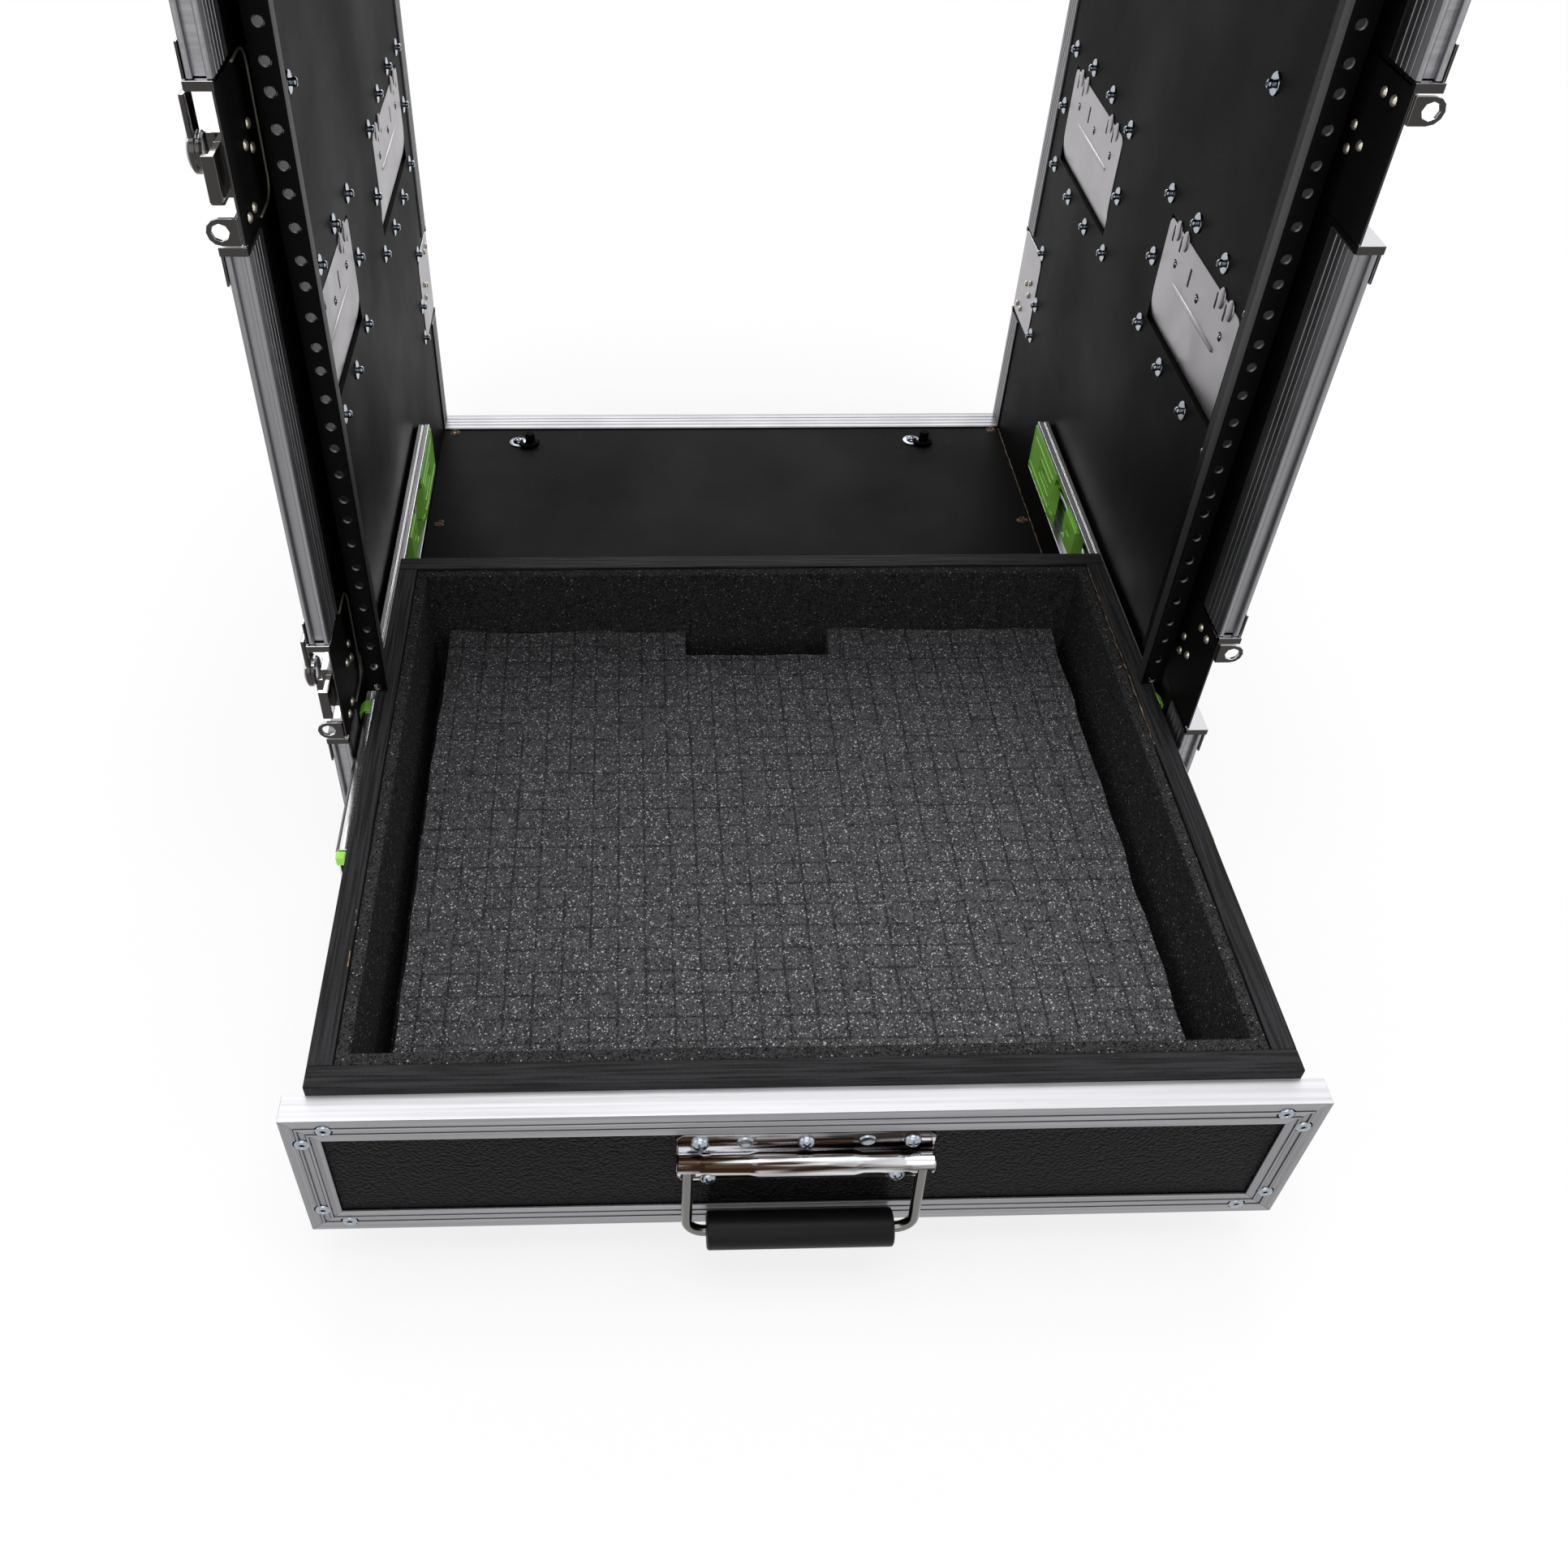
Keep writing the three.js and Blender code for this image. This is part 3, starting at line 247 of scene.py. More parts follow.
def piece(name, shape, finishes, body, replaces=(), bevel=0.0, smooth_below=40):
    """Makes a finished piece from a shape, and fixes it to a body."""
    mesh = bpy.data.meshes.new(name)
    for edge in shape.edges:
        edge.smooth = len(edge.link_faces) == 2 and edge.calc_face_angle() < radians(smooth_below)
    for face in shape.faces:
        face.smooth = True
    shape.to_mesh(mesh)
    shape.free()
    made = bpy.data.objects.new(name, mesh)
    bpy.context.scene.collection.objects.link(made)
    for finish in finishes:
        mesh.materials.append(finish.material)
    if bevel:
        edging = made.modifiers.new("edging", "BEVEL")
        edging.width = bevel
        edging.segments = 2
        edging.limit_method = "ANGLE"
        edging.angle_limit = radians(smooth_below)
        edging.harden_normals = True
    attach(made, body)
    if replaces:
        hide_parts(*replaces)
    return made


dull_shine = 0.035
grain_depth = 0.05 * mm
pebble_depth = 0.7 * mm
satin_laminate = Finish("satin_laminate", tint(18, 17, 17), 0.5)
grain = satin_laminate.noise(900, 3)
cloud = satin_laminate.noise(9, 3)
dust = satin_laminate.noise(700, 1) > 0.76
satin_laminate.set(**{
    "Base Color": satin_laminate.between(
        dust, satin_laminate.between(cloud, tint(13, 13, 13), tint(20, 19, 18)), tint(58, 56, 54)),
    "Roughness": satin_laminate.ramp(cloud, 0.3, 0.7, 0.45, 0.6),
    "Specular IOR Level": dull_shine})
satin_laminate.relief(grain, grain_depth)

pebbled_laminate = Finish("pebbled_laminate", tint(18, 18, 18), 0.42)
pebble = pebbled_laminate.node(
    "ShaderNodeTexVoronoi", {"feature": "SMOOTH_F1"}, {"Vector": pebbled_laminate.place, "Scale": 620.0})
# The hollows between the pebbles are painted darker: painted shade.
pebble_hollow_shade = pebbled_laminate.ramp(pebble, 0.2, 0.7)
pebbled_laminate.set(**{
    "Base Color": pebbled_laminate.between(pebble_hollow_shade, tint(7, 7, 7), tint(2, 2, 2)),
    "Specular IOR Level": 0.048})
pebbled_laminate.relief(1 - pebble, pebble_depth)

board_bevel = 0.25 * mm
for node in ("left_wall", "right_wall", "floor_panel", "top_panel"):
    shape = merged(node)
    for face in shape.faces:
        centre = face.calc_center_median()
        outer_x = abs(face.normal.x) > 0.9 and face.normal.x * centre.x > 0 and "wall" in node
        outwards = (face.normal.z > 0) == (node == "top_panel")
        outer_z = abs(face.normal.z) > 0.9 and "panel" in node and outwards
        face.material_index = 1 if outer_x or outer_z else 0
    piece(node + "_board", shape, [satin_laminate, pebbled_laminate], "case", [node], board_bevel)


# Edge profile
# Extruded aluminium channel that wraps both open edges of the case, left bright, with ribs
# on the inner flange. Angles of the same metal cover the long corners.
streak_depth = 0.04 * mm


def drawn_aluminium(name, stretch, level=150, roughness=0.35):
    """Mill-finish aluminium with faint die lines along its length."""
    made = Finish(name, tint(level, level, level), roughness, 1.0)
    streak = made.noise(420, 3, stretch)
    smudge = made.noise(25, 2)
    dark = tint(level - 10, level - 10, level - 7)
    light = tint(level + 10, level + 10, level + 13)
    made.set(**{
        "Base Color": made.between(made.ramp(streak, 0.35, 0.65), dark, light),
        "Roughness": made.ramp(streak * 0.6 + smudge * 0.4, 0.35, 0.65, roughness - 0.06, roughness + 0.07)})
    made.relief(streak, streak_depth)
    return made


def rounded(shape, edges, radius, segments):
    """Rounds off some edges of a shape."""
    bmesh.ops.bevel(
        shape, geom=edges, offset=radius, segments=segments, profile=0.5, affect="EDGES", material=-1)


aluminium_across = drawn_aluminium("aluminium_drawn_across", (0.01, 1, 1))
aluminium_upright = drawn_aluminium("aluminium_drawn_upright", (1, 1, 0.01), 140, 0.44)
aluminium_along = drawn_aluminium("aluminium_drawn_along", (1, 0.01, 1))
aluminium_rear = drawn_aluminium("aluminium_drawn_rear", (0.01, 1, 1), 136)
lip_radius = 1.1 * mm
lip_slack = 0.05 * mm
shortest_lip = 40 * mm
side_band = 245 * mm
profile_bevel = 0.25 * mm
angle_bevel = 0.3 * mm
for end in ("front", "rear"):
    for place in ("left", "right", "bottom", "top"):
        node = "%s_edge_%s" % (end, place)
        shape = merged(node)
        low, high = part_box(node)
        lip = low.y if end == "front" else high.y
        rims = [edge for edge in shape.edges if edge.calc_length() > shortest_lip
                and all(abs(vert.co.y - lip) < lip_slack for vert in edge.verts)]
        rounded(shape, rims, lip_radius, 3)
        for face in shape.faces:
            face.material_index = 1 if abs(face.calc_center_median().x) > side_band else 0
        level_finish = aluminium_across if end == "front" else aluminium_rear
        piece(node + "_profile", shape, [level_finish, aluminium_upright], "case",
              [node], profile_bevel)
for level in ("bottom", "top"):
    for side in ("left", "right"):
        node = "long_edge_%s_%s" % (level, side)
        piece(node + "_angle", merged(node), [aluminium_along], "case", [node], angle_bevel)


# Rivets of the outside
# Blind rivets with domed aluminium heads hold the edge profile and the corner angles to
# the plywood.
def facing(place, direction, turn=0.0):
    """The placement that stands a shape's Z axis along a direction."""
    return (Matrix.Translation(place) @ Vector(direction).to_track_quat("Z", "Y").to_matrix().to_4x4()
            @ Matrix.Rotation(turn, 4, "Z"))


def turned(profile, steps=20):
    """A lathe-turned body round Z, from radius and height pairs in mm."""
    shape = bmesh.new()
    points = [shape.verts.new((radius * mm, 0, height * mm)) for radius, height in profile]
    edges = [shape.edges.new(pair) for pair in zip(points, points[1:])]
    bmesh.ops.spin(shape, geom=points + edges, axis=(0, 0, 1), angle=2 * pi, steps=steps, use_merge=True)
    bmesh.ops.remove_doubles(shape, verts=shape.verts, dist=weld_distance)
    bmesh.ops.recalc_face_normals(shape, faces=shape.faces)
    return shape


def copies(shape, placements):
    """One shape repeated at every placement."""
    pattern = bpy.data.meshes.new("pattern")
    shape.to_mesh(pattern)
    shape.free()
    whole = bmesh.new()
    for placement in placements:
        before = len(whole.verts)
        whole.from_mesh(pattern)
        whole.verts.ensure_lookup_table()
        bmesh.ops.transform(whole, matrix=placement, verts=whole.verts[before:])
    bpy.data.meshes.remove(pattern)
    return whole


rivet_metal = Finish("rivet_metal", tint(140, 140, 143), 0.22, 1.0)
blind_head = [
    (0, 0.3), (0.8, 0.35), (1.0, 0.2), (1.25, 0.8), (1.9, 1.1), (2.8, 0.85), (3.4, 0.35), (3.6, 0),
    (3.6, -0.3)]
outer_face = 257.7
corner_face = 258.9
end_depths = (-21, 480)
upright_heights = (-60, -20, 90, 180, 270, 385, 430)
level_faces = ((-118.7, -1), (474.7, 1))
level_places = (40, 120, 195)
corner_heights = (-99, 453)
corner_depths = (60, 150, 229.5, 310, 400)
spots = []
for way in (-1, 1):
    for y in end_depths:
        for z in upright_heights:
            spots.append(facing(at(way * outer_face, y, z), (way, 0, 0)))
    for z, up in level_faces:
        for y in end_depths:
            for x in level_places:
                spots.append(facing(at(way * x, y, z), (0, 0, up)))
    for z in corner_heights:
        for y in corner_depths:
            spots.append(facing(at(way * corner_face, y, z), (way, 0, 0)))
piece("case_outer_rivets", copies(turned(blind_head, 14), spots), [rivet_metal], "case")


# Rack rails
# Strips of 2 mm steel folded twice and powder coated black. The holes are tapped, and
# their bare threads shine through the coat.
def verts_of(parts):
    """The vertices among the parts that an operator gives back."""
    return [part for part in parts if isinstance(part, bmesh.types.BMVert)]


def edges_of(parts):
    """The edges among the parts that an operator gives back."""
    return [part for part in parts if isinstance(part, bmesh.types.BMEdge)]


def prism(outline, start, across, up, along):
    """A straight bar: an outline of (across, up) pairs in mm, drawn out along a vector."""
    shape = bmesh.new()
    spots = [shape.verts.new(start + (across * a + up * b) * mm) for a, b in outline]
    face = shape.faces.new(spots)
    drawn = bmesh.ops.extrude_face_region(shape, geom=[face])["geom"]
    bmesh.ops.translate(shape, verts=verts_of(drawn), vec=along)
    bmesh.ops.recalc_face_normals(shape, faces=shape.faces)
    return shape


def joined(shapes):
    """Several shapes as one."""
    whole = bmesh.new()
    for shape in shapes:
        part = bpy.data.meshes.new("part")
        shape.to_mesh(part)
        shape.free()
        whole.from_mesh(part)
        bpy.data.meshes.remove(part)
    return whole


def box(low, high):
    """A plain block between two corners."""
    shape = bmesh.new()
    size = [abs(far - near) for near, far in zip(low, high)]
    bmesh.ops.create_cube(shape, size=1, matrix=(
        Matrix.Translation((Vector(low) + Vector(high)) / 2) @ Matrix.Diagonal((*size, 1))))
    return shape


def carved(shape, cutters):
    """The shape with the cutters taken out of it."""
    parts = []
    for name, part in (("carved", shape), ("cutters", joined(cutters))):
        mesh = bpy.data.meshes.new(name)
        part.to_mesh(mesh)
        part.free()
        made = bpy.data.objects.new(name, mesh)
        bpy.context.scene.collection.objects.link(made)
        parts.append(made)
    cut = parts[0].modifiers.new("cut", "BOOLEAN")
    cut.object = parts[1]
    cut.solver = "EXACT"
    left = bmesh.new()
    left.from_object(parts[0], bpy.context.evaluated_depsgraph_get())
    for made in parts:
        mesh = made.data
        bpy.data.objects.remove(made)
        bpy.data.meshes.remove(mesh)
    bmesh.ops.dissolve_limit(left, angle_limit=flat_angle, verts=left.verts, edges=left.edges)
    return left


x_axis = Vector((1, 0, 0))
y_axis = Vector((0, 1, 0))
z_axis = Vector((0, 0, 1))
black_powder = Finish("black_powder", tint(10, 10, 11), 0.36)
black_powder.relief(black_powder.noise(1500, 2), grain_depth)
black_powder.set(**{"Specular IOR Level": 0.03})
# A lighter grey for the inner lips of the rails: painted sheen where they catch the light.
lip_powder_painted_sheen = Finish("lip_powder_painted_sheen", tint(40, 39, 38), 0.5)
lip_powder_painted_sheen.relief(lip_powder_painted_sheen.noise(900, 2), grain_depth)
lip_face = 227 * mm
thread_steel = Finish("thread_steel", tint(84, 82, 80), 0.35, 1.0)
rail_outline = [
    (239.5, 36), (239.5, 0), (227, 0), (227, 9), (229, 9), (229, 2), (237.5, 2), (237.5, 38),
    (245.5, 38), (245.5, 56), (247.5, 56), (247.5, 36)]
outer_bends = ((239.5, 0), (227, 0), (237.5, 38), (247.5, 36))
fold_radius = 0.9 * mm
rail_bottom = 3.5
rail_top = 443.5
hole_middle = 232.55
hole_radius = 2.55
drill_radius = hole_radius + 0.3
drill_reach = 3
thread_crest = 2.2
first_hole = 6.35
hole_step = 15.875
holes_in_unit = 3
rack_unit = 44.45
unit_count = 10
hole_heights = [
    unit * rack_unit + first_hole + step * hole_step
    for unit in range(unit_count) for step in range(holes_in_unit)]
straightness = 0.01 * mm
near_enough = 0.1 * mm
rail_bevel = 0.25 * mm
for side, way in (("left", -1), ("right", 1)):
    start = at(0, 0, rail_bottom)
    length = Vector((0, 0, (rail_top - rail_bottom) * mm))
    rail = prism(rail_outline, start, Vector((way, 0, 0)), y_axis, length)
    folds = []
    for edge in rail.edges:
        near, far = (vert.co - start for vert in edge.verts)
        upright = abs(near.x - far.x) < straightness and abs(near.y - far.y) < straightness
        bends = [Vector((way * x, y, near.z / mm)) * mm for x, y in outer_bends]
        if upright and any((near - bend).length < near_enough for bend in bends):
            folds.append(edge)
    rounded(rail, folds, fold_radius, 4)
    drill = turned([
        (0, -drill_reach), (drill_radius, -drill_reach), (drill_radius, drill_reach), (0, drill_reach)], 20)
    spots = [facing(at(way * hole_middle, 0, z), (0, -1, 0)) for z in hole_heights]
    rail = carved(rail, [copies(drill, spots)])
    for face in rail.faces:
        centre = face.calc_center_median()
        on_lip = abs(abs(centre.x) - lip_face) < near_enough
        face.material_index = 1 if on_lip and face.normal.x * way < -0.9 else 0
    piece("rack_rail_%s_folded" % side, rail, [black_powder, lip_powder_painted_sheen], "case",
          ["rack_rail_" + side], rail_bevel)
    thread = turned([
        (hole_radius, -0.25), (thread_crest, -0.45), (hole_radius, -0.7), (thread_crest, -1.0),
        (hole_radius, -1.25), (thread_crest, -1.5), (hole_radius, -1.75), (hole_radius, -0.25)], 20)
    piece("rack_rail_%s_threads" % side, copies(thread, spots), [thread_steel], "case")


# Side handles
# Pressed zinc-plated dishes sunk in the walls, each with a wire bail and a rubber sleeve.
# Blind rivets with wide washers on the inside hold them.
def bent_wire(radius, corners, bends, sides=16):
    """Round wire along a path, bent round at each inner corner."""
    shape = bmesh.new()
    heading = (corners[1] - corners[0]).normalized()
    ends = bmesh.ops.create_circle(
        shape, segments=sides, radius=radius, matrix=facing(corners[0], heading))["verts"]
    rim = list({edge for vert in ends for edge in vert.link_edges})
    place = corners[0]
    for index, corner in enumerate(corners[1:], 1):
        last = index == len(corners) - 1
        reach = 0
        if not last:
            after = (corners[index + 1] - corner).normalized()
            turn = heading.angle(after)
            bend = bends[index - 1]
            reach = bend * tan(turn / 2)
        end = corner - heading * reach
        drawn = bmesh.ops.extrude_edge_only(shape, edges=rim)["geom"]
        ends = verts_of(drawn)
        rim = [edge for edge in edges_of(drawn) if all(vert in ends for vert in edge.verts)]
        bmesh.ops.translate(shape, verts=ends, vec=end - place)
        place = end
        if not last:
            axis = heading.cross(after).normalized()
            bent = bmesh.ops.spin(
                shape, geom=ends + rim, cent=end + axis.cross(heading) * bend, axis=axis,
                angle=turn, steps=7)["geom_last"]
            ends = verts_of(bent)
            rim = edges_of(bent)
            heading = after
            place = corner + heading * reach
    bmesh.ops.holes_fill(shape, edges=shape.edges)
    bmesh.ops.recalc_face_normals(shape, faces=shape.faces)
    return shape


cut_merge = 0.01 * mm
fine_merge = 0.001 * mm


def sliced(shape, place, normal, merge=cut_merge, clear=False):
    """Cuts a shape along a plane, and gives the edges of the cut."""
    cut = bmesh.ops.bisect_plane(
        shape, geom=shape.verts[:] + shape.edges[:] + shape.faces[:], dist=merge,
        plane_co=place, plane_no=normal, clear_outer=clear)["geom_cut"]
    return edges_of(cut)


def side_block(way, xs, ys, zs):
    """A block between pairs of x, y and z, mirrored to the left side where way is -1."""
    return box(at(way * xs[0], ys[0], zs[0]), at(way * xs[1], ys[1], zs[1]))


def slot_blocks(way, middle_y, xs, ys, drops, long_ys, rises):
    """The blocks of a pan's slots: one beside each knuckle, and a long one lower down."""
    blocks = [side_block(
        way, xs, [middle_y + y + reach for reach in ys], [pan_top - drop for drop in drops])
        for y in knuckles]
    blocks.append(side_block(
        way, xs, [middle_y + y for y in long_ys], [pan_height + rise for rise in rises]))
    return blocks


zinc = Finish("zinc_plate", tint(172, 169, 172), 0.38, 0.85)
zinc_cloud = zinc.noise(35, 3)
zinc.set(**{
    "Base Color": zinc.between(zinc_cloud, tint(160, 157, 160), tint(184, 181, 184)),
    "Roughness": zinc.ramp(zinc_cloud, 0.3, 0.7, 0.32, 0.46)})


def polished_chrome(name, stretch, scale, dark, low, high):
    """Chrome plate with painted reflections: the dark and light streaks of a workshop painted into its
    colour.
    """
    made = Finish(name, tint(150, 149, 150), 0.1, 1.0)
    streak = made.noise(scale, 2, stretch)
    smear = made.noise(120, 3)
    made.set(**{
        "Base Color": made.between(made.ramp(streak, low, high), dark, tint(214, 214, 217)),
        "Roughness": made.ramp(smear, 0.35, 0.7, 0.07, 0.16)})
    return made


# Latch chrome, with painted reflections streaked through its colour.
chrome = polished_chrome("bright_chrome", (1, 1, 1), 13, tint(104, 102, 100), 0.36, 0.62)
# Two more copies of chrome: a dark painted reflection for faces turned to the front, and a light painted one
# for faces turned up.
chrome_painted_shade = Finish("chrome_painted_shade", tint(64, 62, 60), 0.12, 1.0)
chrome_painted_highlight = Finish("chrome_painted_highlight", tint(222, 222, 226), 0.14, 1.0)
# A darker copy of chrome for the bail wires, its colour darkened as a painted reflection of dark
# surroundings.
chrome_wire_painted_dark = Finish("chrome_wire_painted_dark", tint(116, 114, 112), 0.12, 1.0)
plated_steel = Finish("plated_steel", tint(158, 164, 172), 0.2, 1.0)
sleeve_rubber = Finish("sleeve_rubber", tint(17, 17, 18), 0.42)
sleeve_rubber.relief(sleeve_rubber.noise(1600, 2), streak_depth)
sleeve_rubber.set(**{"Specular IOR Level": 0.12})
deep_black = Finish("deep_black", tint(9, 9, 9), 0.7)
deep_black.set(**{"Specular IOR Level": dull_shine})
deep_black.relief(deep_black.noise(800, 1), grain_depth)

pan_middles = {"front": 125.0, "rear": 375.5}
pan_height = 177.0
pan_top = 210.0
pan_face = 247.0
wall_face = 247.5
wall_outer_face = 256.5
knuckles = (-50, -35, 35, 50)
washer_rivet = [
    (0, 3.2), (0.8, 3.3), (1.0, 4.6), (1.7, 4.5), (2.3, 3.9), (2.5, 3.0), (2.3, 2.1), (2.0, 1.4), (2.0, 0.9),
    (5.5, 0.9), (5.8, 0.6), (5.8, 0.02), (0, 0.02)]
rivet_ring = [
    (-76, -42), (-25.5, -46), (25.5, -46), (76, -42), (-81, 0), (81, 0), (-76, 42), (-25.5, 46),
    (25.5, 46), (76, 42)]
handle_head = [(0, 1.2), (1.6, 1.15), (3.2, 0.8), (4.2, 0.2), (4.3, -0.2)]
handle_outer_face = 257.8
lone_rivets = ((101.5, 318), (439, 69.5), (430, 30), (427, 4.7))
slot_sizes = ((246, 248.6), (5.2, 7.8), (11.5, 2), (14.6, 17.6), (12, 23))
slot_back_sizes = ((248.25, 248.8), (4.6, 8.4), (12.1, 1.4), (14, 18), (11, 24))
curve_top = 172
curve_reach = 3.6
curve_run = 28
curve_heights = (curve_top, 167, 163, 159, 155.5, 152.5, 150, 148, 146.5)
pan_floor = 250 * mm
knuckle_radii = (1.3, 5.0, 6.0)
knuckle_drop = 2.2
ridge_profile = [(0, -42), (0.7, -41.2), (1.5, -39), (1.7, 0), (1.5, 39), (0.7, 41.2), (0, 42)]
ridge_shift = 2
ridge_rise = 2.6
ridge_depth = 0.5
shadow_ring_profile = [(0, 0.12), (2.6, 0.12), (2.8, 0), (0, -0.1)]
button_profile = [(0, 1.1), (0.8, 1.05), (1.5, 0.7), (1.8, 0.1), (1.8, -0.1)]
button_places = (43, -1.5, -46)
button_rise = 13.5
bail_axis = (256.5, 204.5)
bail_lean = 3
bail_drop = 46
bail_half_length = 56
bail_pin = 14
bail_radius = 3 * mm
bail_bends = [5 * mm, 7 * mm, 7 * mm, 5 * mm]
bail_sleeve = [
    (3.1, -44), (8.4, -44), (9.3, -43.3), (9.5, -42.4), (9.5, 42.4), (9.3, 43.3), (8.4, 44), (3.1, 44),
    (3.1, -44)]
dish_bevel = 0.8 * mm
for side, way in (("left", -1), ("right", 1)):
    inward = Vector((-way, 0, 0))
    washers = [facing(at(way * wall_face, y, z), inward) for y, z in lone_rivets]
    heads = [facing(at(way * wall_outer_face, y, z), -inward) for y, z in lone_rivets]
    for end, middle_y in pan_middles.items():
        name = "%s_%s" % (end, side)
        slots = slot_blocks(way, middle_y, *slot_sizes)
        dish = merged("side_handle_dish_" + name)
        for height in curve_heights:
            sliced(dish, at(0, 0, height), z_axis)
        for vert in dish.verts:
            drop = at(0, 0, curve_top).z - vert.co.z
            if drop > 0 and abs(vert.co.x) < pan_floor:
                vert.co.x += way * curve_reach * mm * (drop / (curve_run * mm)) ** 3
        dish = carved(dish, slots)
        piece("side_handle_%s_pressing" % name, dish, [zinc], "case",
              ["side_handle_dish_" + name], dish_bevel)
        backing = slot_blocks(way, middle_y, *slot_back_sizes)
        # Black rings under the button rivets: painted shadow round each head.
        shadow_rings = turned(shadow_ring_profile, 14)
        rivets = [facing(at(way * pan_face, middle_y + y, pan_height + button_rise), inward)
                  for y in button_places]
        backing.append(copies(shadow_rings, rivets))
        piece("side_handle_%s_slot_backs" % name, joined(backing), [deep_black], "case")
        barrels = []
        for y in knuckles:
            bump = bmesh.new()
            place = Matrix.Translation(at(way * pan_face, middle_y + y, pan_top - knuckle_drop))
            bmesh.ops.create_uvsphere(
                bump, u_segments=20, v_segments=14, radius=1,
                matrix=place @ Matrix.Diagonal(Vector((*knuckle_radii, 1000)) * mm))
            barrels.append(bump)
        barrels = joined(barrels)
        cut = sliced(barrels, at(way * wall_face, 0, 0), (way, 0, 0), fine_merge, True)
        bmesh.ops.holes_fill(barrels, edges=cut)
        ridge_place = at(way * (pan_face + ridge_depth), middle_y - ridge_shift, pan_height + ridge_rise)
        ridge = copies(turned(ridge_profile, 16), [facing(ridge_place, y_axis)])
        piece("side_handle_%s_knuckles" % name, joined([barrels, ridge]), [zinc], "case")
        button = turned(button_profile, 14)
        piece("side_handle_%s_rivets" % name, copies(button, rivets), [plated_steel], "case")
        for y, z in rivet_ring:
            washers.append(facing(at(way * wall_face, middle_y + y, pan_height + z + 0.5), inward))
            heads.append(facing(at(way * handle_outer_face, middle_y + y, pan_height + z + 0.5), -inward))
        axis_place = at(way * bail_axis[0], middle_y, bail_axis[1])
        lean = Vector((way * bail_lean, 0, -bail_drop)) * mm
        half = Vector((0, bail_half_length, 0)) * mm
        pin = Vector((0, bail_pin, 0)) * mm
        bail = bent_wire(bail_radius, [
            axis_place - half + pin, axis_place - half, axis_place - half + lean, axis_place + half + lean,
            axis_place + half, axis_place + half - pin], bail_bends, 18)
        node = "side_handle_bail_" + name
        piece(node + "_wire", bail, [chrome_wire_painted_dark], node, [node])
        sleeve = copies(turned(bail_sleeve, 36), [facing(axis_place + lean, y_axis)])
        piece(node + "_sleeve", sleeve, [sleeve_rubber], node)
    piece("wall_washers_" + side, copies(turned(washer_rivet, 20), washers), [plated_steel], "case")
    piece("wall_rivet_heads_" + side, copies(turned(handle_head, 16), heads), [rivet_metal], "case")


# Latches
# Butterfly latches in chromed dishes at the gaps of the edge profile: base, hook, padlock
# ring and folding thumb turn. Rivets show on the inner side of the dishes.
def paint_chrome_reflections(shape):
    """Paints reflections into chrome: a dark painted reflection on its front faces and a light one on its
    upper faces.
    """
    for face in shape.faces:
        if face.normal.y < -0.5:
            face.material_index = 1
        elif face.normal.z > 0.3:
            face.material_index = 2


chrome_with_painted_reflections = [chrome, chrome_painted_shade, chrome_painted_highlight]
# Near-black finish for the inner faces of the front dishes: painted reflection of the dark inside of the
# case.
pan_painted_reflection = Finish("pan_painted_reflection", tint(20, 20, 20), 0.55)
pan_painted_reflection.set(**{"Specular IOR Level": 0.02})
pan_back = 248 * mm
latch_rivet = [(0, 1.5), (0.9, 1.4), (1.8, 1.0), (2.4, 0.35), (2.5, -0.05)]
pale_rivet = Finish("pale_rivet", tint(206, 200, 184), 0.3, 0.8)
trio = ((5, 5.3), (5, -5.4), (-6, 0))
pair = ((-11.5, 25.4), (-22, 25.4))
latch_face = 246.3
latch_heights = {"lower": 31.0, "upper": 329.0}
rear_from_front = 459
bead_start = -2
bead_stop = 22.4
bead_rise = 33.7
bead_radius = 0.6 * mm
bead_bend = 9.5 * mm
strap_corners = ((264.2, -6, 5), (267.4, 6, 26))
lever_corners = ((256.5, -6.5, -22), (263.5, 6.5, -2))
hub_foot = 261.4
hub_profile = [
    (0, 6.2), (3, 6.2), (3.6, 7.2), (6.8, 7.2), (8.2, 6.4), (9.6, 5.2), (9.6, 3.2), (8.6, 2.8),
    (8.6, 1.2), (7.6, 0.2), (0, 0.2)]
pan_bevel = 0.5 * mm
arms_bevel = 1.3 * mm
hub_bevel = 0.2 * mm
